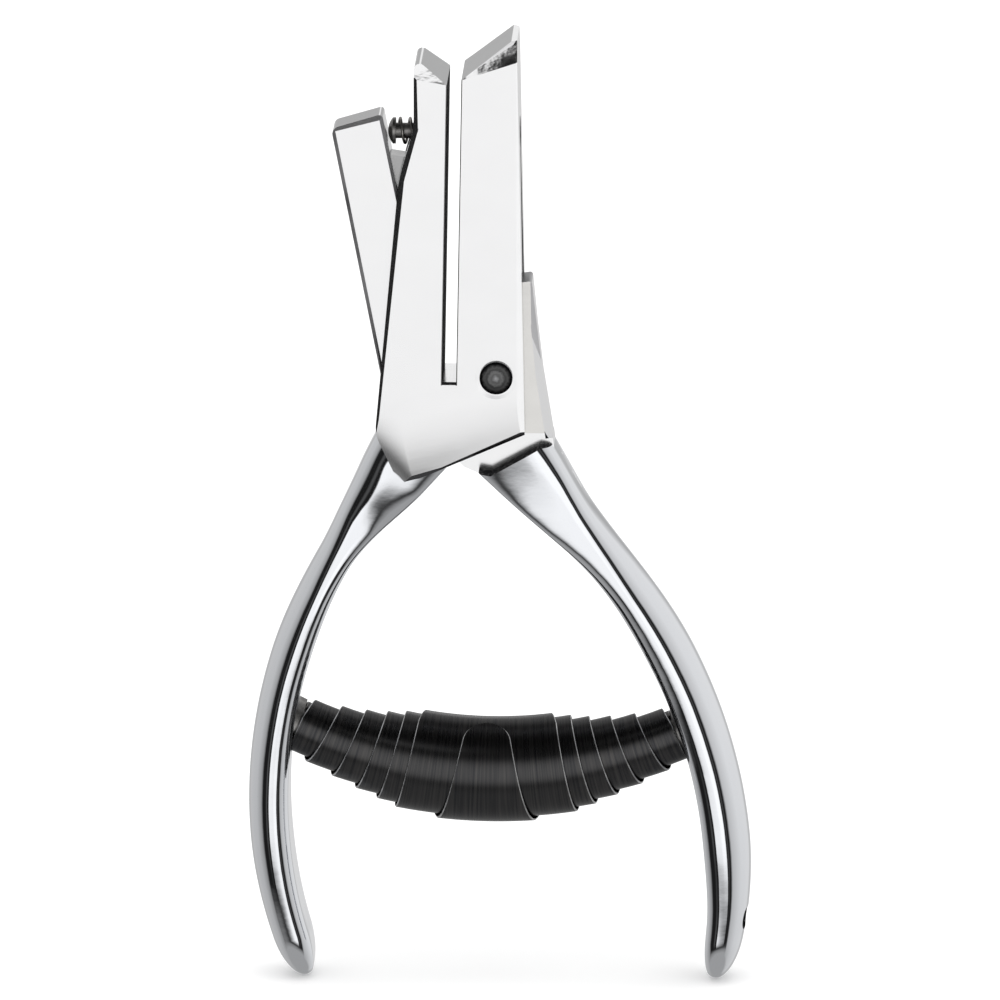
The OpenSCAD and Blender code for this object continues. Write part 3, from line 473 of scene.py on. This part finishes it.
def cut_both_faces(obj, name, spots, fronts, material):
    """Cuts the same hollow into front and back: spots are its rings in X and Z from the pivot, and fronts
    their distances from the middle plane, in millimetres."""
    for side in (-1, 1):
        rows = [np.column_stack([spot[:, 0] + PIVOT[0], side * front, spot[:, 1] + PIVOT[1]])
                for spot, front in zip(spots, fronts)]
        carve(obj, "DIFFERENCE", closed_loft(name, np.stack(rows) * MM, material))


FACE_Y, CLEAR_Y, PAST_Y, SKIN = 7.5, 14.0, 20.0, 0.02
FAR, WASTE = 90.0, 120.0
FOOT, HEEL, TOE = np.array([-19.2, -9.1]), np.array([-15.2, -17.8]), np.array([4.55, -9.2])
foot_line, toe_line = ((end - start) / np.linalg.norm(end - start)
                       for start, end in ((FOOT, HEEL), (HEEL, TOE)))
foot_out = np.array([foot_line[1], -foot_line[0]])
toe_up = np.array([-toe_line[1], toe_line[0]])
forged_frame = node_copy("forged_frame", "frame", chrome)

# The CAD handle is cut off at foot and heel, and makes way for the finer one.
beyond = [FOOT - foot_line * FAR + foot_out * SKIN, HEEL + foot_line * FAR + foot_out * SKIN,
          HEEL + foot_line * FAR + foot_out * WASTE, FOOT - foot_line * FAR + foot_out * WASTE]
HEEL_PAST, TOE_PAST = 4.0, 30.0
below = [HEEL - toe_line * HEEL_PAST - toe_up * SKIN, TOE + toe_line * TOE_PAST - toe_up * SKIN,
         TOE + toe_line * TOE_PAST - toe_up * WASTE, HEEL - toe_line * HEEL_PAST - toe_up * WASTE]
carve(forged_frame, "DIFFERENCE", prism("beyond_foot", beyond, -PAST_Y, PAST_Y, chrome))
carve(forged_frame, "DIFFERENCE", prism("below_heel", below, -PAST_Y, PAST_Y, chrome))

# Front and back roll off towards the bottom: they fall by the square of the way down over twice ROLL_R.
ROLL_R, ROLL_START, ROLL_LENGTH, ROLL_TILT, ROLL_REACH = 125.0, 10.5, 15.0, np.radians(14.0), 45.0
roll_up = np.array([-np.sin(ROLL_TILT), np.cos(ROLL_TILT)])
roll_along = np.array([np.cos(ROLL_TILT), np.sin(ROLL_TILT)])
fall = np.linspace(0.0, ROLL_LENGTH, 40)
level = np.concatenate([ROLL_START - fall, [ROLL_START - ROLL_LENGTH, ROLL_START]])
front = np.concatenate([FACE_Y - fall ** 2 / (2 * ROLL_R), [CLEAR_Y, CLEAR_Y]])
spots = [HEEL + level[:, None] * roll_up + reach * roll_along for reach in (-ROLL_REACH, ROLL_REACH)]
cut_both_faces(forged_frame, "roll_off", spots, [front, front], chrome_roll)

# They also roll off towards the handle, in the same way, by a share that grows from foot to heel.
FOOT_ROLL_R, FOOT_ROLL_START, FOOT_ROLL_END = 16.0, 6.0, 1.0
FADE_FROM, FADE_LENGTH, FADE_POWER, FADE_MOST, FADE_END = -3.0, 12.6, 1.4, 1.1, 17.0
fall = np.linspace(0.0, FOOT_ROLL_START + FOOT_ROLL_END, 24)
level = np.concatenate([fall - FOOT_ROLL_START, [FOOT_ROLL_END, -FOOT_ROLL_START]])
reaches = np.linspace(FADE_FROM, FADE_END, 30)
shares = np.minimum(((reaches - FADE_FROM) / FADE_LENGTH) ** FADE_POWER, FADE_MOST)
spots = [FOOT + level[:, None] * foot_out + reach * foot_line for reach in reaches]
fronts = [np.concatenate([FACE_Y + SKIN / 2 - share * fall ** 2 / (2 * FOOT_ROLL_R), [CLEAR_Y, CLEAR_Y]])
          for share in shares]
cut_both_faces(forged_frame, "foot_roll", spots, fronts, chrome_roll)

# A bevel runs along the bottom edge and widens from heel to toe.
BEVEL_SLOPE, BEVEL_HEIGHTS, BEVEL_FRONTS = 0.8, (0.15, 0.8), (7.05, 7.35)
BEVEL_SPAN, BEVEL_PAST = (-3.0, 6.0), 2.0
level = np.array([*BEVEL_SPAN, *BEVEL_SPAN[::-1]])
spots = [end + level[:, None] * toe_up for end in (HEEL, TOE + toe_line * BEVEL_PAST)]
fronts = [np.concatenate([front + (np.array(BEVEL_SPAN) - high) * BEVEL_SLOPE, [CLEAR_Y, CLEAR_Y]])
          for high, front in zip(BEVEL_HEIGHTS, BEVEL_FRONTS)]
cut_both_faces(forged_frame, "lower_bevel", spots, fronts, chrome)

frame_handle = closed_loft("frame_handle", handle_grid(
    -1, wide_z=29.5, bow_r=80, tip_r=75, lean=42, grip_w=6.1, waist_w=5.4, root_w=9.5, top_z=87.9,
    flare_z=79.5, thin=0.7, box=0.3, dip=2.6, fillet=2.3, lip=0.0), chrome_grip)
carve(forged_frame, "UNION", frame_handle)

# The spring's axis is an arc that sags between its two seats, and the peg seats are drilled along it.
SEAT_R, SEAT_DEPTH = 4.5, 6.6
SPRING_SAG = 7.2
frame_seat, lever_seat = np.array([-33.9897, 0.0, 42.0792]), np.array([30.0056, 0.0, 41.0348])
chord = lever_seat - frame_seat
chord_length, chord_tilt = np.linalg.norm(chord), np.arctan2(chord[2], chord[0])
axis_r = (chord_length ** 2 / 4 + SPRING_SAG ** 2) / (2 * SPRING_SAG)
axis_half = np.arcsin(chord_length / 2 / axis_r)
frame_way = np.array([np.cos(chord_tilt - axis_half), 0.0, np.sin(chord_tilt - axis_half)])
lever_way = -np.array([np.cos(chord_tilt + axis_half), 0.0, np.sin(chord_tilt + axis_half)])
# The seat's walls take the slot-wall steel, whose near-black tone is painted shade.
carve(forged_frame, "DIFFERENCE",
      round_bar("frame_peg_seat", frame_seat, frame_seat + frame_way * SEAT_DEPTH, SEAT_R, sawn_and_shade))


def set_walls(obj, material, walls):
    """Gives a material to the flat chromed faces that walls picks by centre (at), greatest distance from
    the middle plane (reach) and normal (n)."""
    mesh = obj.data
    if material.name not in mesh.materials:
        mesh.materials.append(material)
    names = [m.name for m in mesh.materials]
    count = len(mesh.polygons)
    centre, normal, index = np.empty(count * 3), np.empty(count * 3), np.empty(count, np.int32)
    mesh.polygons.foreach_get("center", centre)
    mesh.polygons.foreach_get("normal", normal)
    mesh.polygons.foreach_get("material_index", index)
    points = np.empty(len(mesh.vertices) * 3)
    corners, starts = np.empty(len(mesh.loops), np.int32), np.empty(count, np.int32)
    mesh.vertices.foreach_get("co", points)
    mesh.loops.foreach_get("vertex_index", corners)
    mesh.polygons.foreach_get("loop_start", starts)
    reach = np.maximum.reduceat(np.abs(points.reshape(-1, 3)[corners, 1]), starts) / MM
    picked = walls(centre.reshape(-1, 3) / MM, reach, normal.reshape(-1, 3))
    plain = [i for i, name in enumerate(names) if name == chrome.name]
    index[picked & np.isin(index, plain)] = names.index(material.name)
    mesh.polygons.foreach_set("material_index", index)


def score(obj, point, way, n_z=-2.0, z=None):
    """Cuts a line along a plane into a mesh: into all its faces, or into those at height z that look
    upwards more than n_z. Lengths are in millimetres."""
    bm = bmesh.new()
    bm.from_mesh(obj.data)
    faces = [f for f in bm.faces
             if f.normal.z > n_z and (z is None or abs(f.calc_center_median().z / MM - z) < 0.3)]
    chosen = set(faces)
    edges = [e for e in bm.edges if not chosen.isdisjoint(e.link_faces)]
    verts = [v for v in bm.verts if not chosen.isdisjoint(v.link_faces)]
    bmesh.ops.bisect_plane(bm, geom=verts + edges + faces, dist=1e-7,
                           plane_co=[part * MM for part in point], plane_no=way)
    bm.to_mesh(obj.data)
    bm.free()


THROAT_X, THROAT_Z, THROAT_W, THROAT_LEAN = -6.8, 99.0, 2.3, np.radians(1.0)
FORK_HALF, BODY_Z, LIP_FROM = 3.67, 82.0, 5.4
JAW_TOP_Z, BODY_LOW_Z = 140.0, 94.0


def throat_and_fork(at, reach, n):
    """The throat's guide side and the inside of the fork slot and spring pocket, which get painted shade."""
    wall = THROAT_X + (at[:, 2] - THROAT_Z) * np.tan(THROAT_LEAN)
    throat = (np.abs(at[:, 0] - wall + THROAT_W) < 0.06) & (at[:, 2] > THROAT_Z) & (n[:, 0] > 0.9)
    return throat | ((reach < FORK_HALF) & (at[:, 2] > BODY_Z))


def throat_lip_shade(at, reach, n):
    """The front end of the throat's floor, where a dark strip is painted as shade along its front edge."""
    return (np.abs(at[:, 2] - THROAT_Z) < 0.3) & (n[:, 2] > 0.9) & (at[:, 1] < -LIP_FROM)


def slanted(n, least, most):
    """Faces that look to the front or back by a share of least to most."""
    return (np.abs(n[:, 1]) > least) & (np.abs(n[:, 1]) < most)


def jaw_facets(at, reach, n):
    """The hand-ground facets in front of and behind the jaw tips."""
    return (at[:, 2] > JAW_TOP_Z) & slanted(n, 0.3, 0.97) & (n[:, 2] > 0.25)


def lower_edges(at, reach, n):
    """The bevels along the bottom edge from heel to toe, painted dark as shade."""
    return (at[:, 2] < BODY_LOW_Z) & slanted(n, 0.3, 0.97) & (n[:, 2] < -0.35)


chrome_facet = chrome_plate("chrome_facet", 1.4e-5, 0.06, BRIGHT)
# chrome_shaded is near-black chrome: painted shade for the bottom bevels.
chrome_shaded = chrome_plate("chrome_shaded", 1.0e-5, 0.2, (0.12, 0.12, 0.125))
score(forged_frame, (0.0, -LIP_FROM, 0.0), (0.0, 1.0, 0.0), n_z=0.9, z=THROAT_Z)
set_walls(forged_frame, sawn_and_shade, throat_and_fork)
set_walls(forged_frame, sawn_and_shade, throat_lip_shade)
set_walls(forged_frame, chrome_facet, jaw_facets)
set_walls(forged_frame, chrome_shaded, lower_edges)
crisp_forging(forged_frame)

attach(forged_frame, "frame")
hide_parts("frame")

# Lever: a second forging that crosses the frame in its fork. Its web carries the punch arm, the rib
# and the stop fin, and its handle has shoulders cut to stop against the frame's cheeks.
SHOULDER = np.array([[-5.2, -15.0277], [-0.9, -15.9], [7.0, -11.5]])
WEB_HALF, WEB_LOW, WEB_REACH, WEB_SKIN = 3.5, -19.5, 60.0, 0.0005
cheek = np.concatenate([SHOULDER[:1] - [FAR, 0.0], SHOULDER, SHOULDER[2:] + [FAR, 0.0],
                        [[FAR, 2 * FAR], [-FAR, 2 * FAR]]])
forged_lever = closed_loft("forged_lever", handle_grid(
    1, wide_z=15.5, bow_r=84, tip_r=54, lean=45, grip_w=7.0, waist_w=6.2, root_w=8.0, top_z=88.6,
    flare_z=75.0, thin=1.9, box=0.55, dip=0.9, fillet=0.0, lip=0.024), chrome_grip)
# The cut shoulders take the slot-wall steel, whose near-black tone is painted shade below the cheeks.
for side in (-1, 1):
    carve(forged_lever, "DIFFERENCE",
          prism("cheek_space", cheek, side * (WEB_HALF - SKIN / 2), side * PAST_Y, sawn_and_shade))
web = node_copy("web", "lever", chrome)
slab = [[-WEB_REACH, WEB_LOW], [WEB_REACH, WEB_LOW], [WEB_REACH, WEB_REACH], [-WEB_REACH, WEB_REACH]]
carve(web, "INTERSECT", prism("web_slab", slab, -WEB_HALF + WEB_SKIN, WEB_HALF - WEB_SKIN, chrome))
carve(forged_lever, "UNION", web)
# The lanyard hole and its mouth take the slot-wall steel, whose near-black tone is painted shade.
LANYARD_Z, LANYARD_R, LANYARD_PAST = 10.4, 1.75, 60.0
carve(forged_lever, "DIFFERENCE",
      round_bar("lanyard", (0, 0, LANYARD_Z), (LANYARD_PAST, 0, LANYARD_Z), LANYARD_R, sawn_and_shade))

# The lanyard hole's mouth is a loft from a circle to a long slot, whose front half shifts forward.
MOUTH_X, MOUTH_SHIFT, MOUTH_R = (36.6, 46.6), (0.0, 9.0), 1.02 * LANYARD_R
b = np.linspace(0.0, 2.0 * np.pi, 96, endpoint=False)
mouth = [np.column_stack([np.full(len(b), x), MOUTH_R * np.cos(b) - shift * (np.cos(b) < 0.0),
                          LANYARD_Z + MOUTH_R * np.sin(b)]) for x, shift in zip(MOUTH_X, MOUTH_SHIFT)]
carve(forged_lever, "DIFFERENCE", closed_loft("lanyard_mouth", np.stack(mouth) * MM, sawn_and_shade))
# The lever's peg seat takes the slot-wall steel, whose near-black tone is painted shade.
carve(forged_lever, "DIFFERENCE",
      round_bar("lever_peg_seat", lever_seat, lever_seat + lever_way * SEAT_DEPTH, SEAT_R, sawn_and_shade))

# The wheel does not reach every face alike, so some of them have a duller plating.
# The rib's darker tone is painted shade of its recess.
FIN_X, FIN_Z = 3.0, 90.3
RIB_HALF, RIB_Z, ARM_Z = 2.05, 120.0, 104.0


def rib_walls(at, reach, n):
    """The rib behind the arm, deep in the fork slot; its darker plating is painted shade."""
    return (reach < RIB_HALF) & (at[:, 2] > RIB_Z)


def arm_edges(at, reach, n):
    """The ground edges round the arm, which are finer and duller than its faces."""
    return slanted(n, 0.4, 0.96) & (at[:, 2] > ARM_Z)


def fin_top(at, reach, n):
    """The saw-cut top end of the stop fin, which is dull."""
    return (at[:, 0] > FIN_X) & (at[:, 2] > ARM_Z) & (n[:, 2] > 0.7)


def fin_front(at, reach, n):
    """The front and back of the stop fin, which are ground but not polished."""
    return (at[:, 0] > FIN_X) & (at[:, 2] > FIN_Z) & (np.abs(n[:, 1]) > 0.96)


# The rib's dark chrome is painted shade of its recess.
chrome_recess_shade = chrome_plate("chrome_recess_shade", 1.0e-5, 0.22, (0.42, 0.42, 0.42))
chrome_edge = chrome_plate("chrome_edge", 1.0e-5, 0.45, (0.7, 0.7, 0.71))
chrome_ground = chrome_plate("chrome_ground", 8.0e-6, 0.16, (0.74, 0.73, 0.71))
score(forged_lever, (FIN_X, 0.0, 0.0), (1.0, 0.0, 0.0))
score(forged_lever, (0.0, 0.0, FIN_Z), (0.0, 0.0, 1.0))
set_walls(forged_lever, chrome_recess_shade, rib_walls)
set_walls(forged_lever, chrome_ground, fin_front)
set_walls(forged_lever, chrome_edge, arm_edges)
set_walls(forged_lever, chrome_edge, fin_top)
crisp_forging(forged_lever)
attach(forged_lever, "lever")
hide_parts("lever")

# Pivot rivet: a plain steel pin on which frame and lever turn. Its ends are spread into the seats on
# both faces, which leaves them dark, with turned rings and a brighter middle.
RIVET_GRAIN, RIVET_WOBBLE, RIVET_REACH = 2.2, 0.8, 4.0
rivet_steel = bpy.data.materials.new("spread_rivet")
rivet_steel.use_nodes = True
rt = rivet_steel.node_tree
rivet_shader = rt.nodes["Principled BSDF"]
rivet_shader.inputs["Metallic"].default_value = 1.0
rivet_shader.inputs["Roughness"].default_value = 0.34
flatten = rt.nodes.new("ShaderNodeMapping")
flatten.inputs["Scale"].default_value = (1.0 / MM, 0.0, 1.0 / MM)
rt.links.new(rt.nodes.new("ShaderNodeTexCoord").outputs["Object"], flatten.inputs["Vector"])
from_axis = rt.nodes.new("ShaderNodeVectorMath")
from_axis.operation = "DISTANCE"
from_axis.inputs[1].default_value = (PIVOT[0], 0.0, PIVOT[1])
rt.links.new(flatten.outputs[0], from_axis.inputs[0])
rivet_scuff = rt.nodes.new("ShaderNodeTexNoise")
rivet_scuff.inputs["Scale"].default_value = RIVET_GRAIN
rivet_scuff.inputs["Detail"].default_value = 3.0
rt.links.new(flatten.outputs[0], rivet_scuff.inputs["Vector"])
rivet_radius = rt.nodes.new("ShaderNodeMath")
rivet_radius.operation = "MULTIPLY_ADD"
rivet_radius.inputs[1].default_value = RIVET_WOBBLE
rt.links.new(rivet_scuff.outputs[0], rivet_radius.inputs[0])
rt.links.new(from_axis.outputs["Value"], rivet_radius.inputs[2])
rivet_scaled = rt.nodes.new("ShaderNodeMath")
rivet_scaled.operation = "DIVIDE"
rivet_scaled.inputs[1].default_value = RIVET_REACH
rt.links.new(rivet_radius.outputs[0], rivet_scaled.inputs[0])
rivet_rings = rt.nodes.new("ShaderNodeValToRGB")
rings = rivet_rings.color_ramp.elements
rings[0].position, rings[0].color = 0.1, (0.38, 0.38, 0.39, 1.0)
rings[1].position, rings[1].color = 0.72, (0.006, 0.006, 0.007, 1.0)
for ring_at, grey in ((0.26, 0.12), (0.36, 0.17), (0.46, 0.06), (0.56, 0.09), (0.66, 0.012)):
    rings.new(ring_at).color = (grey, grey, grey, 1.0)
rt.links.new(rivet_scaled.outputs[0], rivet_rings.inputs[0])
rt.links.new(rivet_rings.outputs[0], rivet_shader.inputs["Base Color"])


def finish_node(node, material):
    """Gives a CAD node that shows as it is a finish of its own."""
    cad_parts[node].data.materials.clear()
    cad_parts[node].data.materials.append(material)


finish_node("pivot_rivet", rivet_steel)

# Punch, die bush and spring pegs: turned from tool steel, hardened and left bare, with scuffs from use.
# The bush and the pegs are pressed into their holes, and the punch slides in the guide jaw.
scuff = bpy.data.node_groups.new("steel_scuff", "ShaderNodeTree")
scuff.interface.new_socket("Scale", in_out="INPUT", socket_type="NodeSocketFloat")
scuff.interface.new_socket("Mask", in_out="OUTPUT", socket_type="NodeSocketFloat")
scuff_in, scuff_out = scuff.nodes.new("NodeGroupInput"), scuff.nodes.new("NodeGroupOutput")
scuff_noise = scuff.nodes.new("ShaderNodeTexNoise")
scuff_noise.inputs["Detail"].default_value = 4.0
scuff.links.new(scuff.nodes.new("ShaderNodeTexCoord").outputs["Object"], scuff_noise.inputs["Vector"])
scuff.links.new(scuff_in.outputs["Scale"], scuff_noise.inputs["Scale"])
scuff.links.new(scuff_noise.outputs[0], scuff_out.inputs["Mask"])


def bare_steel(name, dark, light, roughness, scale):
    """Unplated steel whose tone runs from dark to light, and its roughness between two values, along
    the scuffs."""
    material = bpy.data.materials.new(name)
    material.use_nodes = True
    tree = material.node_tree
    shader = tree.nodes["Principled BSDF"]
    shader.inputs["Metallic"].default_value = 1.0
    scuffed = tree.nodes.new("ShaderNodeGroup")
    scuffed.node_tree = scuff
    scuffed.inputs["Scale"].default_value = scale
    tone = tree.nodes.new("ShaderNodeValToRGB")
    for element, place, colour in zip(tone.color_ramp.elements, (0.35, 0.65), (dark, light)):
        element.position, element.color = place, (*colour, 1.0)
    tree.links.new(scuffed.outputs["Mask"], tone.inputs[0])
    tree.links.new(tone.outputs[0], shader.inputs["Base Color"])
    rough = tree.nodes.new("ShaderNodeMapRange")
    rough.inputs["To Min"].default_value, rough.inputs["To Max"].default_value = roughness
    tree.links.new(scuffed.outputs["Mask"], rough.inputs["Value"])
    tree.links.new(rough.outputs[0], shader.inputs["Roughness"])
    return material


tool_steel = bare_steel("tool_steel", (0.2, 0.195, 0.19), (0.42, 0.41, 0.4), (0.3, 0.5), 900.0)
for node in ("punch", "die_bush", "frame_spring_peg", "lever_spring_peg"):
    finish_node(node, tool_steel)

# Punch return spring: hard-drawn round wire wound round the punch's stem. It stands between the punch's
# head and the pocket in the guide jaw, and lifts the punch when the handles open.
# Its wire's circle is carried along a helix round the punch's axis.
COIL_R, WIRE_R, COIL_TURNS, PUNCH_H = 1.975, 0.225, 3.5, 38.6
COIL_STEPS, WIRE_SIDES, COIL_SHORTEST = 190, 18, 0.28
coil_lo, coil_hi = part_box("punch_return_spring")
coil_x = np.array([coil_lo[0] / MM + WIRE_R, coil_hi[0] / MM - WIRE_R])
turn_at = np.linspace(0.0, 2.0 * np.pi * COIL_TURNS, COIL_STEPS)
round_at = np.linspace(0.0, 2.0 * np.pi, WIRE_SIDES, endpoint=False)
coil_out = COIL_R + WIRE_R * np.cos(round_at)[None, :]
coil_grid = np.empty((len(turn_at), len(round_at), 3))
coil_grid[..., 0] = np.linspace(*coil_x, len(turn_at))[:, None] + WIRE_R * np.sin(round_at)[None, :]
coil_grid[..., 1] = coil_out * np.cos(turn_at)[:, None]
coil_grid[..., 2] = coil_out * np.sin(turn_at)[:, None] + PIVOT[1] + PUNCH_H
spring_wire = bare_steel("spring_wire", (0.24, 0.23, 0.22), (0.55, 0.53, 0.5), (0.25, 0.45), 1500.0)
return_coil = closed_loft("return_coil", coil_grid * MM, spring_wire)


def crisp(obj, degrees):
    """Smooth shading with sharp edges where faces meet at more than the angle."""
    obj.data.shade_smooth()
    obj.data.set_sharp_from_angle(angle=np.radians(degrees))


crisp(return_coil, 60.0)
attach(return_coil, "frame")
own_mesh(return_coil)
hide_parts("punch_return_spring")

# Volute spring: one V-shaped blued strip rolled from its point, so that both halves wind inwards
# towards the handles; its edges are sheared and left bright. It sits on the two pegs, along the arc.
axis_rise = np.array([-chord[2], 0.0, chord[0]]) / chord_length
axis_centre = (frame_seat + lever_seat) / 2 + (axis_r - SPRING_SAG) * axis_rise
PEG_RIM, END_ROOM = 1.4, 0.3
HALF_LENGTH = axis_r * axis_half - PEG_RIM - END_ROOM
SPRING_D, STRIP_T, STRIP_STEP, SPRING_TURNS, STRIP_W = 17.8, 0.24, 0.72, 7.0, 13.5
TAB_HALF, TAB_LEAD, ROUND_TURN, END_TURN, LEAD_GROWTH = 3.6, 8.7, 0.065, 0.9, 0.35
NOTCH_HALF, APEX_TURN = 0.35, np.radians(202.0)
TURN_STEPS, COLUMNS, TAB_STEPS = 780, 9, np.radians(np.arange(4, 90, 5))
CHAMFER, CHAMFER_SHARE, CHAMFER_DROP = 0.14, 0.3, 0.12

# At turn t the strip reaches from strip_in to strip_out on both sides of the middle: a round tab that
# widens with a steady lead for a turn, and then a lead that grows towards the ends.
t = np.concatenate([ROUND_TURN * (1.0 - np.cos(TAB_STEPS)),
                    np.linspace(ROUND_TURN, SPRING_TURNS, TURN_STEPS)])
u = np.clip((t - 1.0) / (SPRING_TURNS - 1.0 - END_TURN), 0.0, 1.0)
tab = TAB_HALF * np.sqrt(1.0 - (1.0 - np.minimum(t / ROUND_TURN, 1.0)) ** 2)
lead = (HALF_LENGTH - TAB_HALF - TAB_LEAD) * ((1.0 - LEAD_GROWTH) * u + LEAD_GROWTH * u * u)
strip_out = TAB_LEAD * np.minimum(t, 1.0) + tab + lead
strip_in = np.minimum(np.maximum(NOTCH_HALF, strip_out - STRIP_W), strip_out / 2)
share = np.append(np.linspace(0.0, 1.0, COLUMNS - 1), 1.0)[None, :]
chamfer = np.minimum(CHAMFER, (strip_out - strip_in) * CHAMFER_SHARE)
half = strip_in[:, None] + (strip_out - chamfer - strip_in)[:, None] * share
half[:, -1] = strip_out
v = np.concatenate([-half[:, ::-1], half], axis=1)
wide = v.shape[1]

# Its radius falls by STRIP_STEP a turn, its angle phi runs on from the tab's point, and v along the strip's
# width becomes the angle psi along the bent axis. The outer face is chamfered at its two edges.
r_mid = (SPRING_D - STRIP_T) / 2 - STRIP_STEP * t
phi = APEX_TURN + 2.0 * np.pi * t
psi = v / axis_r + chord_tilt
strip = np.empty((2, len(t), wide, 3))
for face, offset in enumerate((STRIP_T / 2, -STRIP_T / 2)):
    r = np.repeat((r_mid + offset)[:, None], wide, axis=1)
    if face == 0:
        r[:, [0, -1]] -= CHAMFER_DROP
    away = axis_r + r * np.cos(phi)[:, None]
    strip[face, ..., 0] = axis_centre[0] + away * np.sin(psi)
    strip[face, ..., 1] = r * np.sin(phi)[:, None]
    strip[face, ..., 2] = axis_centre[2] - away * np.cos(psi)


def strip_quads(a, b, c, d):
    """Faces from four arrays of corner numbers."""
    return np.stack([a.ravel(), b.ravel(), c.ravel(), d.ravel()], -1)


# Point numbers of both faces. From row parted on, the halves are two strips with a gap between them, and
# the sides and ends close each strip to a solid.
outer, inner = np.arange(2 * len(t) * wide).reshape(2, len(t), wide)
parted = int(np.argmax(strip_in > NOTCH_HALF * 1.0001))
keep = np.ones((len(t) - 1, wide - 1), bool)
keep[parted:, COLUMNS - 1] = False
faces = [strip_quads(outer[:-1, :-1][keep], outer[:-1, 1:][keep], outer[1:, 1:][keep], outer[1:, :-1][keep]),
         strip_quads(inner[:-1, :-1][keep], inner[1:, :-1][keep], inner[1:, 1:][keep], inner[:-1, 1:][keep])]
band_count = sum(map(len, faces))
sides = [(slice(first, None), column) for column, first in
         ((0, 0), (wide - 1, 0), (COLUMNS - 1, parted), (COLUMNS, parted))]
ends = [(ring, slice(lo, hi)) for ring, lo, hi in
        ((0, 0, wide), (-1, 0, COLUMNS), (-1, COLUMNS, wide), (parted, COLUMNS - 1, COLUMNS + 1))]
for place in sides + ends:
    o, i = outer[place], inner[place]
    faces.append(strip_quads(o[:-1], o[1:], i[1:], i[:-1]))
volute_mesh = bpy.data.meshes.new("volute")
volute_mesh.from_pydata(strip.reshape(-1, 3) * MM, [], np.concatenate(faces).tolist())

# The faces of the band are blued (slot 0), and its chamfers, sides and ends are bare (slot 1).
slots = np.zeros(len(volute_mesh.polygons), np.int32)
slots[band_count:] = 1
column_of = np.broadcast_to(np.arange(wide - 1), keep.shape)[keep]
slots[:len(column_of)][(column_of == 0) | (column_of == wide - 2)] = 1
volute_mesh.polygons.foreach_set("material_index", slots)

# The blued faces have rolling hairlines along the strip, from its own length and width in millimetres.
TURN_LENGTH, HAIR_ALONG, HAIR_ACROSS = 50.0, 0.05, 2.6
for name, values in (("strip_along", (t * TURN_LENGTH)[None, :, None]), ("strip_across", v)):
    attribute = volute_mesh.attributes.new(name, "FLOAT", "POINT")
    attribute.data.foreach_set("value", np.broadcast_to(values, strip.shape[:3]).astype(np.float32).ravel())
volute = bpy.data.objects.new("volute", volute_mesh)
scene.collection.objects.link(volute)
blued = bpy.data.materials.new("blued_strip")
blued.use_nodes = True
bt = blued.node_tree
blued_shader = bt.nodes["Principled BSDF"]
blued_shader.inputs["Metallic"].default_value = 1.0
hair_place = bt.nodes.new("ShaderNodeCombineXYZ")
for socket, name, scale in (("X", "strip_along", HAIR_ALONG), ("Y", "strip_across", HAIR_ACROSS)):
    source = bt.nodes.new("ShaderNodeAttribute")
    source.attribute_name = name
    scaled = bt.nodes.new("ShaderNodeMath")
    scaled.operation = "MULTIPLY"
    scaled.inputs[1].default_value = scale
    bt.links.new(source.outputs["Fac"], scaled.inputs[0])
    bt.links.new(scaled.outputs[0], hair_place.inputs[socket])
hairlines = bt.nodes.new("ShaderNodeTexNoise")
hairlines.inputs["Scale"].default_value = 1.0
hairlines.inputs["Detail"].default_value = 4.0
bt.links.new(hair_place.outputs[0], hairlines.inputs["Vector"])
hair_tone = bt.nodes.new("ShaderNodeValToRGB")
hair_tone.color_ramp.elements[0].position = 0.3
hair_tone.color_ramp.elements[0].color = (0.042, 0.043, 0.047, 1.0)
hair_tone.color_ramp.elements[1].position = 0.7
hair_tone.color_ramp.elements[1].color = (0.098, 0.095, 0.093, 1.0)
bt.links.new(hairlines.outputs[0], hair_tone.inputs[0])
bt.links.new(hair_tone.outputs[0], blued_shader.inputs["Base Color"])
hair_rough = bt.nodes.new("ShaderNodeMapRange")
hair_rough.inputs["To Min"].default_value = 0.22
hair_rough.inputs["To Max"].default_value = 0.34
bt.links.new(hairlines.outputs[0], hair_rough.inputs["Value"])
bt.links.new(hair_rough.outputs[0], blued_shader.inputs["Roughness"])
sheared = bare_steel("sheared_edge", (0.42, 0.42, 0.42), (0.72, 0.72, 0.72), (0.3, 0.5), 700.0)
volute_mesh.materials.append(blued)
volute_mesh.materials.append(sheared)
outward(volute)
crisp(volute, 40.0)
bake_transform(volute)
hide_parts("volute_spring")
